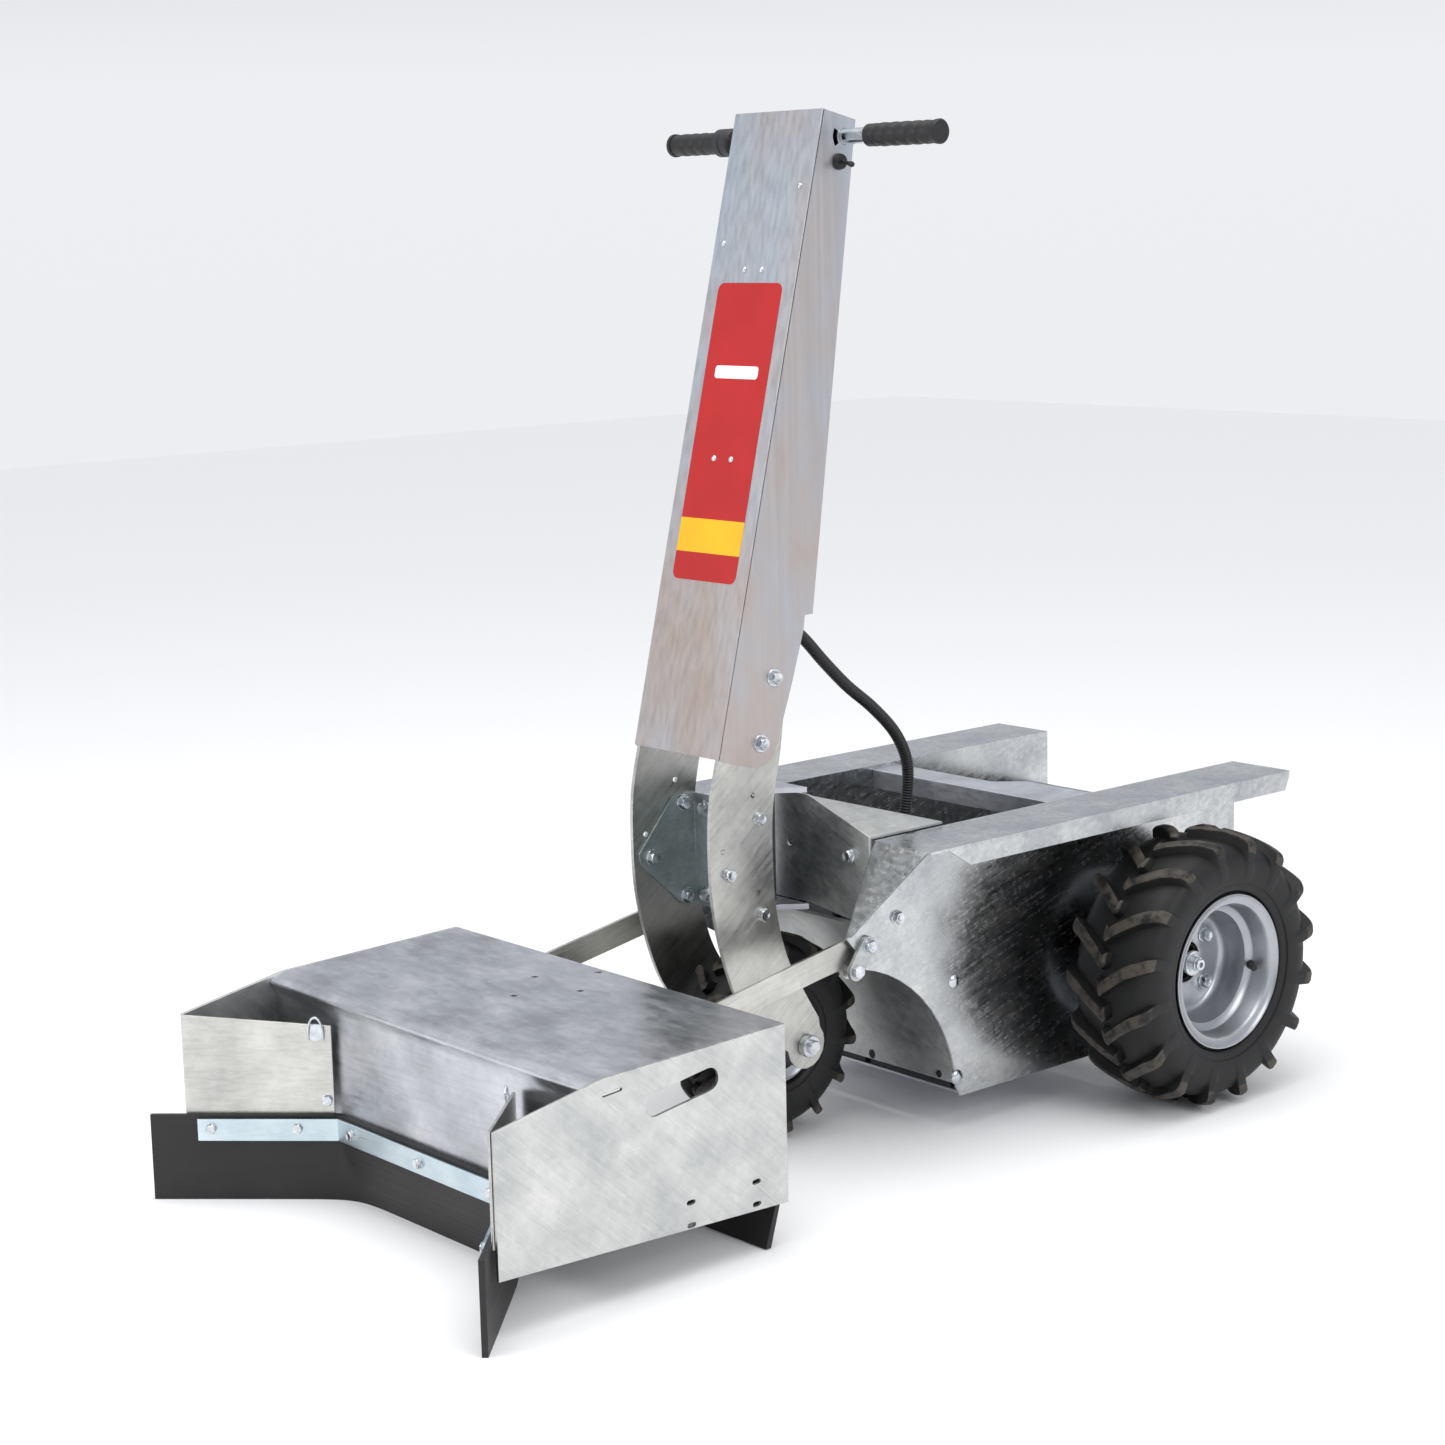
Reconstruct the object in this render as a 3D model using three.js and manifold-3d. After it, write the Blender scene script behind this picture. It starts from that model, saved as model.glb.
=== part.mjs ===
// Battery-electric barn scraper: a three-wheeled pedestrian machine that pushes a rubber-edged box.
// Millimetres, +Z up, the machine drives towards -Y, its right-hand side as drawn is +X.
import * as THREE from 'three';
import { mergeVertices } from 'three/addons/utils/BufferGeometryUtils.js';
import Module from 'manifold-3d';

const wasm = await Module();
wasm.setup();

// ---------------------------------------------------------------- driving dimensions
const gap = 0.3; // clearance that touching pieces keep
const deg = Math.PI / 180;

// chassis
const sideX = 200; // outer face of each side plate
const sheet = 4; // thickness of chassis sheet
const railTop = 460;
const railWidth = 107; // top flange, folded outwards
const railLip = 30; // depth of the folded edge
const railFront = 26;
const chassisRear = 805;
const chassisBottom = 55;
const wallY = 21; // rear face of the front wall
const noseTop = 520; // top of the upper nose plate
const noseLow = 342; // underside of the lower nose plate
const nosePlate = 8;
const archRadius = 240; // wheel arch in the side plates
const archY = -59;
const archZ = 48;

// steering
const steerY = -34; // steering axis
const pinRadius = 10;
const forkX = 87; // outer face of each fork arm
const forkPlate = 6;
const frontWheelRadius = 150;
const frontTyreWidth = 96;
const frontAxleY = -10;
const axleRadius = 10;
const mastSheet = 3;
const mastBottomY = -166; // front face of the mast at its foot
const mastBottomZ = 587;
const mastTopY = 51;
const mastTopZ = 1462;
const mastRearTopY = 112;
const mastRearTopZ = 1447;
const mastRearFootY = 15;
const mastRearFootZ = 770;
const handleY = 92;
const handleZ = 1424;
const handleRadius = 11;
const handleEnd = 272; // half length of the handlebar
const gripLength = 138;

// rear wheels
const rearAxleY = 549;
const rearWheelRadius = 208;
const rearTyreWidth = 154;
const rearWheelOuter = 400; // outer flange plane of each rear rim
const rearRimWidth = 142;
const rearFlangeRadius = 115.5;
const rearDiscX = 318; // outer face of the rim disc

// scraper
const boxX = 362; // outer face of each box side
const boxSheet = 5;
const boxRear = -296;
const boxFront = -761;
const boxRearTop = 298;
const boxBendY = -622; // where the top plate turns down
const facePlateY = -610; // front of the face plate below the bend
const boxBendZ = 284;
const boxNoseTop = 261;
const faceBottom = 112;
const wingInnerX = 210; // where each wing meets the face plate
const wingTop = 261; // at the outer end
const wingInnerTop = 245;
const rubber = 8;
const rubberFoot = 0;
const armOuterX = 190;
const armPlate = 6;
const armHeight = 36;
const armPivotY = -20;
const armPivotZ = 283;
const armSlope = 10 * deg;
const pivotBolt = 6; // radius

// ---------------------------------------------------------------- geometry helpers
function flip(geometry) {
  const index = geometry.index;
  for (let i = 0; i < index.count; i += 3) {
    const b = index.getX(i + 1);
    index.setX(i + 1, index.getX(i + 2));
    index.setX(i + 2, b);
  }
  return geometry;
}

function welded(geometry) {
  const bare = geometry.clone();
  bare.deleteAttribute('normal');
  bare.deleteAttribute('uv');
  const result = mergeVertices(bare, 1e-4);
  const kept = [];
  for (let i = 0; i < result.index.count; i += 3) {
    const [a, b, c] = [0, 1, 2].map((k) => result.index.getX(i + k));
    if (a !== b && b !== c && c !== a) kept.push(a, b, c);
  }
  result.setIndex(kept);
  return signedVolume(result) < 0 ? flip(result) : result;
}

function signedVolume(geometry) {
  const p = geometry.getAttribute('position');
  const index = geometry.index;
  const [a, b, c] = [new THREE.Vector3(), new THREE.Vector3(), new THREE.Vector3()];
  let volume = 0;
  for (let i = 0; i < index.count; i += 3) {
    a.fromBufferAttribute(p, index.getX(i));
    b.fromBufferAttribute(p, index.getX(i + 1));
    c.fromBufferAttribute(p, index.getX(i + 2));
    volume += a.dot(b.cross(c)) / 6;
  }
  return volume;
}

function toManifold(geometry) {
  const g = welded(geometry);
  return new wasm.Manifold(new wasm.Mesh({
    numProp: 3,
    vertProperties: new Float32Array(g.getAttribute('position').array),
    triVerts: new Uint32Array(g.index.array),
  }));
}

function fromManifold(solid) {
  const mesh = solid.getMesh();
  const geometry = new THREE.BufferGeometry();
  geometry.setAttribute('position', new THREE.BufferAttribute(mesh.vertProperties, 3));
  geometry.setIndex(new THREE.BufferAttribute(mesh.triVerts, 1));
  geometry.computeVertexNormals();
  return geometry;
}

function join(...geometries) {
  let solid = toManifold(geometries[0]);
  for (const other of geometries.slice(1)) solid = solid.add(toManifold(other));
  return fromManifold(solid);
}

function cut(geometry, ...tools) {
  let solid = toManifold(geometry);
  for (const tool of tools) solid = solid.subtract(toManifold(tool));
  return fromManifold(solid);
}

function mirrored(geometry) {
  const copy = welded(geometry).scale(-1, 1, 1);
  return flip(copy);
}

function shapeOf(points) {
  return new THREE.Shape(points.map(([a, b]) => new THREE.Vector2(a, b)));
}

// points of a path without the doubled points that arcs leave at their ends
function distinct(points) {
  const kept = points.filter((p, i) => i === 0 || p.distanceTo(points[i - 1]) > 0.01);
  if (kept[0].distanceTo(kept[kept.length - 1]) < 0.01) kept.pop();
  return kept;
}

function turned(points, clockwise) {
  return THREE.ShapeUtils.isClockWise(points) === clockwise ? points : points.reverse();
}

const arcDivisions = 5;
function extruded(shape, depth) {
  const source = shape instanceof THREE.Shape ? shape : shapeOf(shape);
  const { shape: rim, holes } = source.extractPoints(arcDivisions);
  const outline = new THREE.Shape(turned(distinct(rim), false));
  outline.holes = holes.map((points) => new THREE.Path(turned(distinct(points), true)));
  return new THREE.ExtrudeGeometry(outline, { depth, bevelEnabled: false });
}

// plate standing along the machine: outline in (y, z), faces at x0 and x1
function plateX(shape, x0, x1) {
  const geometry = extruded(shape, x1 - x0);
  geometry.applyMatrix4(new THREE.Matrix4().set(0, 0, 1, x0, 1, 0, 0, 0, 0, 1, 0, 0, 0, 0, 0, 1));
  return geometry;
}

// plate standing across the machine: outline in (x, z), faces at y0 and y1
function plateY(shape, y0, y1) {
  const geometry = extruded(shape, y1 - y0);
  geometry.applyMatrix4(new THREE.Matrix4().set(1, 0, 0, 0, 0, 0, -1, y1, 0, 1, 0, 0, 0, 0, 0, 1));
  return geometry;
}

// flat plate: outline in (x, y), faces at z0 and z1
function plateZ(shape, z0, z1) {
  const geometry = extruded(shape, z1 - z0);
  return geometry.translate(0, 0, z0);
}

function box(x0, x1, y0, y1, z0, z1) {
  const geometry = new THREE.BoxGeometry(x1 - x0, y1 - y0, z1 - z0);
  return geometry.translate((x0 + x1) / 2, (y0 + y1) / 2, (z0 + z1) / 2);
}

function rodX(x0, x1, y, z, radius, segments = 24) {
  const geometry = new THREE.CylinderGeometry(radius, radius, x1 - x0, segments);
  return geometry.rotateZ(-Math.PI / 2).translate((x0 + x1) / 2, y, z);
}

function rodY(y0, y1, x, z, radius, segments = 24) {
  const geometry = new THREE.CylinderGeometry(radius, radius, y1 - y0, segments);
  return geometry.translate(x, (y0 + y1) / 2, z);
}

function rodZ(z0, z1, x, y, radius, segments = 24) {
  const geometry = new THREE.CylinderGeometry(radius, radius, z1 - z0, segments);
  return geometry.rotateX(Math.PI / 2).translate(x, y, (z0 + z1) / 2);
}

// solid of revolution about X from a profile of [axial, radius] points
function latheX(profile, segments = 40) {
  const points = profile.map(([axial, radius]) => new THREE.Vector2(radius, axial));
  const geometry = new THREE.LatheGeometry(points, segments);
  return welded(geometry.rotateZ(-Math.PI / 2));
}

// strip of constant thickness to one side of a path in (x, y); side +1 is to the left of the path
function stripOutline(path, thickness, side = 1) {
  const offset = path.map((point, i) => {
    const before = path[Math.max(i - 1, 0)];
    const after = path[Math.min(i + 1, path.length - 1)];
    const normals = [];
    if (i > 0) normals.push(normalOf(before, point));
    if (i < path.length - 1) normals.push(normalOf(point, after));
    const sum = normals.reduce((n, m) => [n[0] + m[0], n[1] + m[1]], [0, 0]);
    const length = Math.hypot(...sum);
    const unit = [sum[0] / length, sum[1] / length];
    const stretch = 1 / (unit[0] * normals[0][0] + unit[1] * normals[0][1]);
    return [point[0] + side * thickness * stretch * unit[0], point[1] + side * thickness * stretch * unit[1]];
  });
  return [...path, ...offset.reverse()];
}

function normalOf(a, b) {
  const length = Math.hypot(b[0] - a[0], b[1] - a[1]);
  return [-(b[1] - a[1]) / length, (b[0] - a[0]) / length];
}

function slotShape(a, b, radius) {
  const angle = Math.atan2(b[1] - a[1], b[0] - a[0]);
  const path = new THREE.Path();
  path.absarc(b[0], b[1], radius, angle - Math.PI / 2, angle + Math.PI / 2, false);
  path.absarc(a[0], a[1], radius, angle + Math.PI / 2, angle + 1.5 * Math.PI, false);
  path.closePath();
  return path;
}

// round hole as a polygon that lies outside its circle, so that a round pin passes
function hole(a, b, radius, sides = 16) {
  const points = [];
  for (let i = 0; i < sides; i++) {
    const angle = ((i + 0.5) / sides) * 2 * Math.PI;
    const reach = radius / Math.cos(Math.PI / sides);
    points.push(new THREE.Vector2(a + reach * Math.cos(angle), b + reach * Math.sin(angle)));
  }
  return new THREE.Path(points);
}

// ---------------------------------------------------------------- materials and scene
const scene = new THREE.Group();
const chassis = new THREE.Group();
const steering = new THREE.Group();
const scraper = new THREE.Group();
scene.add(chassis, steering, scraper);

const finish = {
  galvanised: { color: 0xb9bdb8, metalness: 0.8, roughness: 0.45 },
  passivated: { color: 0xa8a094, metalness: 0.8, roughness: 0.4 },
  zinc: { color: 0xc9cdd2, metalness: 0.9, roughness: 0.3 },
  rubber: { color: 0x1c1c1d, metalness: 0, roughness: 0.85 },
  plastic: { color: 0x161617, metalness: 0, roughness: 0.6 },
  silver: { color: 0x9fa3a8, metalness: 0.6, roughness: 0.35 },
  cast: { color: 0x5a5d60, metalness: 0.5, roughness: 0.6 },
};

function add(group, name, geometry, look, position = [0, 0, 0]) {
  const mesh = new THREE.Mesh(geometry, new THREE.MeshStandardMaterial(finish[look]));
  mesh.name = name;
  mesh.position.set(...position);
  group.add(mesh);
}

const hands = [['right', 1], ['left', -1]];

function addPair(group, name, geometry, look) {
  add(group, `${name}_right`, geometry, look);
  add(group, `${name}_left`, mirrored(geometry), look);
}

// ---------------------------------------------------------------- chassis
const sideInner = sideX - sheet;
const railOuter = sideX + railWidth;
const rearAxleZ = rearWheelRadius;
const lugY = 3; // upper bolt of the arm lug
const lugZ = 315;

function archPoint(angle, inset = 0) {
  const radius = archRadius + inset;
  return [archY + radius * Math.cos(angle), archZ + radius * Math.sin(angle)];
}

function sidePlate() {
  const outline = new THREE.Shape();
  const [archEndY, archEndZ] = archPoint(5 * deg);
  outline.moveTo(chassisRear, railTop);
  outline.lineTo(chassisRear, chassisBottom);
  outline.lineTo(archEndY + 8, chassisBottom);
  outline.lineTo(archEndY, archEndZ);
  outline.absarc(archY, archZ, archRadius, 5 * deg, 71 * deg, false);
  outline.lineTo(-6, 282);
  outline.lineTo(-12, 304);
  outline.lineTo(-32, 330);
  outline.lineTo(railFront, railTop);
  outline.holes.push(hole(rearAxleY, rearAxleZ, 30));
  outline.holes.push(hole(lugY, lugZ, pivotBolt + gap));
  const web = plateX(outline, sideInner, sideX);
  const flange = box(sideX - 1, railOuter, railFront, chassisRear, railTop - sheet, railTop);
  const lip = plateX([
    [railFront + 30, railTop], [railFront + 78, railTop - railLip],
    [chassisRear - 10, railTop - railLip], [chassisRear, railTop - 8], [chassisRear, railTop],
  ], railOuter - sheet, railOuter);
  return join(web, flange, lip, facet());
}

// triangular flange folded outwards along the raked front edge
function facet() {
  const rake = (railFront + 32) / (railTop - 330);
  const geometry = plateY([
    [sideX - 1, 332], [sideX + 3, 332], [railOuter - 6, railTop - 1], [sideX - 1, railTop - 1],
  ], 0, sheet);
  const p = geometry.getAttribute('position');
  for (let i = 0; i < p.count; i++) p.setY(i, p.getY(i) - 32 + (p.getZ(i) - 330) * rake);
  return geometry;
}

addPair(chassis, 'side_plate', sidePlate(), 'galvanised');

const wallFront = wallY - sheet;
const wallHalf = sideInner - gap;
function frontWall() {
  const outline = shapeOf([
    [-wallHalf, 466], [-71, 509], [71, 509], [wallHalf, 466], [wallHalf, 336],
    [71, 352], [-71, 352], [-wallHalf, 336],
  ]);
  outline.holes.push(hole(30, 434, 5), hole(-30, 434, 5));
  return plateY(outline, wallFront, wallY);
}

function wallFlange() {
  const flat = plateZ([[71, wallFront], [wallHalf, wallFront], [wallHalf, wallY + 140]], 0, sheet);
  const p = flat.getAttribute('position');
  const drop = (509 - 466) / (wallHalf - 71);
  for (let i = 0; i < p.count; i++) p.setZ(i, p.getZ(i) + 509 - sheet - (p.getX(i) - 71) * drop);
  return flat;
}

add(chassis, 'front_wall', join(frontWall(), wallFlange(), mirrored(wallFlange())), 'galvanised');

// sheet behind the front wheel, curved to clear it at full lock
function archSheet() {
  const curve = new THREE.SplineCurve([
    [wallY + gap, 334], [86, 304], [138, 240], [165, 168], [174, 115], [176, 76],
  ].map(([y, z]) => new THREE.Vector2(y, z)));
  const path = curve.getPoints(14).map((p) => [p.x, p.y]);
  const body = plateX(stripOutline(path, sheet), -wallHalf, wallHalf);
  return cut(body, rodY(150, 220, 28, 84, 7), rodY(150, 220, 168, 84, 6), rodY(150, 220, -168, 84, 6));
}
add(chassis, 'arch_sheet', archSheet(), 'galvanised');

const floorFront = archPoint(6 * deg)[0] + 12;
const floorRear = 500;
add(chassis, 'floor_pan', box(-wallHalf, wallHalf, floorFront, floorRear, chassisBottom + 1, chassisBottom + 1 + sheet),
  'galvanised');
add(chassis, 'rear_wall', box(-wallHalf, wallHalf, chassisRear - 6 - sheet, chassisRear - 6, 200, 372), 'galvanised');

const crossFront = 400;
const crossRear = 457;
const crossTop = railTop - 6;
function crossPlate() {
  const outline = shapeOf([
    [-wallHalf, crossFront], [wallHalf, crossFront], [wallHalf, crossRear + 38], [46, crossRear + 38],
    [9, crossRear], [-wallHalf, crossRear],
  ]);
  const plate = plateZ(outline, crossTop - sheet, crossTop);
  const turned = box(-wallHalf, wallHalf, crossFront, crossFront + sheet, crossTop - 30, crossTop);
  return join(plate, turned);
}
add(chassis, 'cross_plate', crossPlate(), 'galvanised');

function nosePlateShape(zTop) {
  const outline = shapeOf([[-70, wallFront - gap], [70, wallFront - gap], [44, -14], [24, -50], [-24, -50], [-44, -14]]);
  outline.holes.push(hole(0, steerY, pinRadius + gap));
  return plateZ(outline, zTop - nosePlate, zTop);
}
add(chassis, 'nose_plate_upper', nosePlateShape(noseTop), 'galvanised');
add(chassis, 'nose_plate_lower', nosePlateShape(noseLow + nosePlate), 'galvanised');

function steeringPin() {
  const shaft = rodZ(noseLow - 14, noseTop + 4, 0, steerY, pinRadius);
  const head = rodZ(noseTop + gap, noseTop + 10, 0, steerY, 17, 6);
  const nut = rodZ(noseLow - 14, noseLow - gap, 0, steerY, 17, 6);
  return join(shaft, head, nut);
}
add(chassis, 'steering_pin', steeringPin(), 'zinc');

function pivotLug() {
  const outline = new THREE.Shape();
  outline.absarc(lugY, lugZ, 14, -20 * deg, 140 * deg, false);
  outline.absarc(armPivotY, armPivotZ, 14, 140 * deg, 340 * deg, false);
  outline.closePath();
  outline.holes.push(hole(lugY, lugZ, pivotBolt + gap));
  outline.holes.push(hole(armPivotY, armPivotZ, pivotBolt + gap));
  return plateX(outline, sideX + gap, sideX + gap + 6);
}
addPair(chassis, 'pivot_lug', pivotLug(), 'galvanised');

function armPivotBolt() {
  const shank = rodX(armOuterX - armPlate - 7, sideX + 12, armPivotY, armPivotZ, pivotBolt);
  const head = rodX(sideX + 6 + 2 * gap, sideX + 13, armPivotY, armPivotZ, 10, 6);
  const nut = rodX(armOuterX - armPlate - 8, armOuterX - armPlate - gap, armPivotY, armPivotZ, 10, 6);
  return join(shank, head, nut);
}
addPair(chassis, 'arm_pivot_bolt', armPivotBolt(), 'zinc');

// batteries, controller and drive
const batteryLength = 270;
const batteryWidth = 168;
const batteryHeight = 212;
const batteryFront = floorFront + 2;
const batteryBase = chassisBottom + 1 + sheet + gap;
function battery() {
  const x0 = 6;
  const body = box(x0, x0 + batteryWidth, batteryFront, batteryFront + batteryLength, batteryBase,
    batteryBase + batteryHeight);
  const post = (y) => rodZ(batteryBase + batteryHeight - 1, batteryBase + batteryHeight + 16, x0 + 30, y, 8, 16);
  return join(body, post(batteryFront + 30), post(batteryFront + batteryLength - 30));
}
addPair(chassis, 'battery', battery(), 'plastic');

const controllerTop = 372;
function controller() {
  const body = box(-90, 110, 190, 330, controllerTop - 70, controllerTop);
  const legs = [[-80, 200], [90, 200], [-80, 310], [90, 310]].map(([x, y]) => (
    box(x, x + 10, y, y + 10, batteryBase + batteryHeight + gap, controllerTop - 69)));
  const gland = rodZ(controllerTop - 1, controllerTop + 14, 32, 245, 13);
  return join(body, ...legs, gland);
}
add(chassis, 'motor_controller', controller(), 'cast');

function transaxle() {
  const end = wallHalf;
  const tube = rodX(-end, end, rearAxleY, rearAxleZ, 28);
  const plates = hands.map(([, s]) => rodX(s > 0 ? end - 10 : -end, s > 0 ? end : -end + 10, rearAxleY, rearAxleZ, 48));
  const gears = rodX(-62, 62, rearAxleY, rearAxleZ, 78, 24);
  const neck = rodY(rearAxleY, rearAxleY + 105, 0, rearAxleZ, 52);
  const bore = rodX(-end - 1, end + 1, rearAxleY, rearAxleZ, 14);
  return cut(join(tube, ...plates, gears, neck), bore);
}
add(chassis, 'transaxle_housing', transaxle(), 'cast');

function driveMotor() {
  const can = rodY(rearAxleY + 105 + gap, chassisRear - 30, 0, rearAxleZ, 56, 32);
  const terminals = box(-20, 20, rearAxleY + 150, rearAxleY + 190, rearAxleZ + 40, rearAxleZ + 74);
  return join(can, terminals);
}
add(chassis, 'drive_motor', driveMotor(), 'cast');

// ---------------------------------------------------------------- steering assembly
const frontAxleZ = frontWheelRadius;
const forkInner = forkX - forkPlate;

const lean = (mastTopY - mastBottomY) / (mastTopZ - mastBottomZ);
const mastX = forkX + gap + mastSheet; // outer face of the housing
const seam = 3; // the housing starts this far behind the front face
function mastFrontY(z) {
  return mastBottomY + (z - mastBottomZ) * lean;
}
const rearLean = (mastRearTopY - mastRearFootY) / (mastRearTopZ - mastRearFootZ);
function mastRearY(z) {
  return mastRearFootY + (z - mastRearFootZ) * rearLean;
}

function forkArm() {
  const outline = new THREE.Shape();
  outline.moveTo(-33, 700);
  outline.splineThru([[-47, 590], [-64, 505], [-66, 420], [-60, 350], [-41, 282], [-12, 230], [15, 186]]
    .map(([y, z]) => new THREE.Vector2(y, z)));
  outline.absarc(frontAxleY, frontAxleZ, 35, 40 * deg, -175 * deg, true);
  outline.splineThru([[-92, 186], [-132, 232], [-158, 295], [-176, 370], [-181, 440], [-178, 520], [mastFrontY(590) + seam + gap, 590]]
    .map(([y, z]) => new THREE.Vector2(y, z)));
  outline.lineTo(mastFrontY(700) + seam + gap, 700);
  outline.closePath();
  outline.holes.push(hole(frontAxleY, frontAxleZ, axleRadius + gap));
  outline.holes.push(hole(-101, 528, 4), hole(-158, 457, 4), hole(-95, 389, 4));
  return plateX(outline, forkInner, forkX);
}
addPair(steering, 'fork_arm', forkArm(), 'galvanised');

// bent sheet bolted inside both fork arms, its rear flange carries the head
const bracketX = forkInner - gap;
const bracketFlangeY = -66;
const headHalf = 28;
function steeringBracket() {
  const cheek = plateX([
    [bracketFlangeY, 506], [-110, 505], [-174, 431], [-171, 416], [-97, 345], [bracketFlangeY, 338],
  ], bracketX - 4, bracketX);
  const flange = box(-bracketX, bracketX, bracketFlangeY - 4, bracketFlangeY, 340, 505);
  return join(cheek, mirrored(cheek), flange);
}
add(steering, 'steering_bracket', steeringBracket(), 'galvanised');

function steeringHead() {
  const block = box(-headHalf, headHalf, bracketFlangeY + gap, steerY + 26, noseLow + nosePlate + 1, noseTop - nosePlate - 1);
  return cut(block, rodZ(300, 560, 0, steerY, pinRadius + gap));
}
add(steering, 'steering_head', steeringHead(), 'cast');

function mastHousing() {
  const outline = new THREE.Shape();
  outline.moveTo(mastFrontY(mastBottomZ - 2) + seam, mastBottomZ - 2);
  outline.lineTo(-96, 566);
  outline.quadraticCurveTo(-66, 566, -59, 590);
  outline.lineTo(-41, 638);
  outline.lineTo(-28, 673);
  outline.lineTo(-3, 749);
  outline.lineTo(0, mastRearFootZ);
  outline.lineTo(mastRearFootY, mastRearFootZ);
  outline.lineTo(mastRearTopY, mastRearTopZ);
  outline.lineTo(mastTopY + seam, mastTopZ - 1);
  outline.closePath();
  const panel = plateX(outline, mastX - mastSheet, mastX);
  const right = cut(panel, plateX(bananaSlot(), mastX - 10, mastX + 10),
    rodX(60, 120, handleY, handleZ, handleRadius + gap),
    rodX(60, 120, 79, 1390, 6 + gap));
  const left = cut(mirrored(panel), rodX(-120, -60, handleY, handleZ, handleRadius + gap));
  const back = plateX([
    [mastRearY(mastRearFootZ) - mastSheet, mastRearFootZ], [mastRearFootY, mastRearFootZ],
    [mastRearTopY, mastRearTopZ], [mastRearTopY - mastSheet, mastRearTopZ],
  ], -mastX + 1, mastX - 1);
  const cap = plateX([
    [mastTopY + seam, mastTopZ - 1], [mastTopY + seam, mastTopZ - 1 - mastSheet],
    [mastRearTopY - 1, mastRearTopZ - mastSheet], [mastRearTopY, mastRearTopZ],
  ], -mastX + 1, mastX - 1);
  return join(right, left, back, cap);
}

// curved slot that follows a circle round the handlebar
function bananaSlot() {
  const radius = 19;
  const half = 4;
  const shape = new THREE.Shape();
  shape.absarc(handleY, handleZ, radius + half, 150 * deg, 215 * deg, false);
  shape.absarc(handleY, handleZ, radius - half, 215 * deg, 150 * deg, true);
  shape.closePath();
  return shape;
}
add(steering, 'mast_housing', mastHousing(), 'passivated');

function mastFrontCover() {
  const foot = mastBottomZ;
  const face = plateX([
    [mastFrontY(foot), foot], [mastFrontY(foot) + seam - gap, foot],
    [mastTopY + seam - gap, mastTopZ], [mastTopY, mastTopZ],
  ], -mastX, mastX);
  const strip = plateX([
    [mastFrontY(foot + 170) + 1, foot + 170], [mastFrontY(foot + 170) + 18, foot + 170],
    [mastFrontY(1400) + 18, 1400], [mastFrontY(1400) + 1, 1400],
  ], mastX - 2 * mastSheet - 2, mastX - mastSheet - 2);
  return join(face, strip, mirrored(strip));
}
add(steering, 'mast_front_cover', mastFrontCover(), 'passivated');

function handlebar() {
  const tube = rodX(-handleEnd, handleEnd, handleY, handleZ, handleRadius);
  return cut(tube, rodX(-handleEnd - 1, handleEnd + 1, handleY, handleZ, handleRadius - 2));
}
add(steering, 'handlebar', handlebar(), 'zinc');

function grip(length) {
  const body = latheX([
    [0, 0], [0, 17], [4, 17.5], [8, 14.5], [length - 8, 14.5], [length - 2, 13], [length, 11], [length, 0],
  ], 28);
  return cut(body, rodX(-1, length - 3, 0, 0, handleRadius + gap));
}
const gripStart = handleEnd + 4 - gripLength;
const gripCollar = 34;
add(steering, 'grip_right', grip(gripLength), 'plastic', [gripStart, handleY, handleZ]);
const throttleGripLength = gripLength - gripCollar - 1;
add(steering, 'throttle_grip', mirrored(grip(throttleGripLength)), 'plastic', [-gripStart - gripCollar - 1, handleY, handleZ]);
const throttleHousing = cut(rodX(-gripStart - gripCollar, -gripStart, handleY, handleZ, 20, 28),
  rodX(-300, 0, handleY, handleZ, handleRadius + gap));
add(steering, 'throttle_housing', throttleHousing, 'plastic');

const switchY = 79;
const switchZ = 1390;
function toggleSwitch() {
  const body = box(mastX - 30, mastX - mastSheet - gap, switchY - 9, switchY + 9, switchZ - 13, switchZ + 13);
  const bush = rodX(mastX - 12, mastX + 5, switchY, switchZ, 6, 20);
  const boot = rodX(mastX + gap, mastX + 7, switchY, switchZ, 10, 20);
  return join(body, bush, boot);
}
add(steering, 'toggle_switch', toggleSwitch(), 'plastic');
const leverRoom = 2; // lets the heel of the tilted lever clear the boot when it flips
function toggleLever() {
  const stem = rodX(0, 17, 0, 0, 3, 12);
  const tip = new THREE.SphereGeometry(4, 14, 10).translate(17, 0, 0);
  return join(stem, tip).rotateY(14 * deg);
}
add(steering, 'toggle_lever', toggleLever(), 'plastic', [mastX + 7 + leverRoom, switchY, switchZ]);

const axleEnd = forkX + 20;
add(steering, 'front_axle', rodX(-axleEnd, axleEnd, frontAxleY, frontAxleZ, axleRadius), 'zinc');
function axleCollar() {
  const ring = rodX(forkX + gap, forkX + 13, frontAxleY, frontAxleZ, 16, 28);
  const bore = rodX(forkX, forkX + 14, frontAxleY, frontAxleZ, axleRadius + gap, 24);
  const screw = rodZ(frontAxleZ - 17, frontAxleZ - 11, forkX + 7, frontAxleY, 2, 10);
  return cut(ring, bore, screw);
}
addPair(steering, 'axle_collar', axleCollar(), 'zinc');

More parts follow.
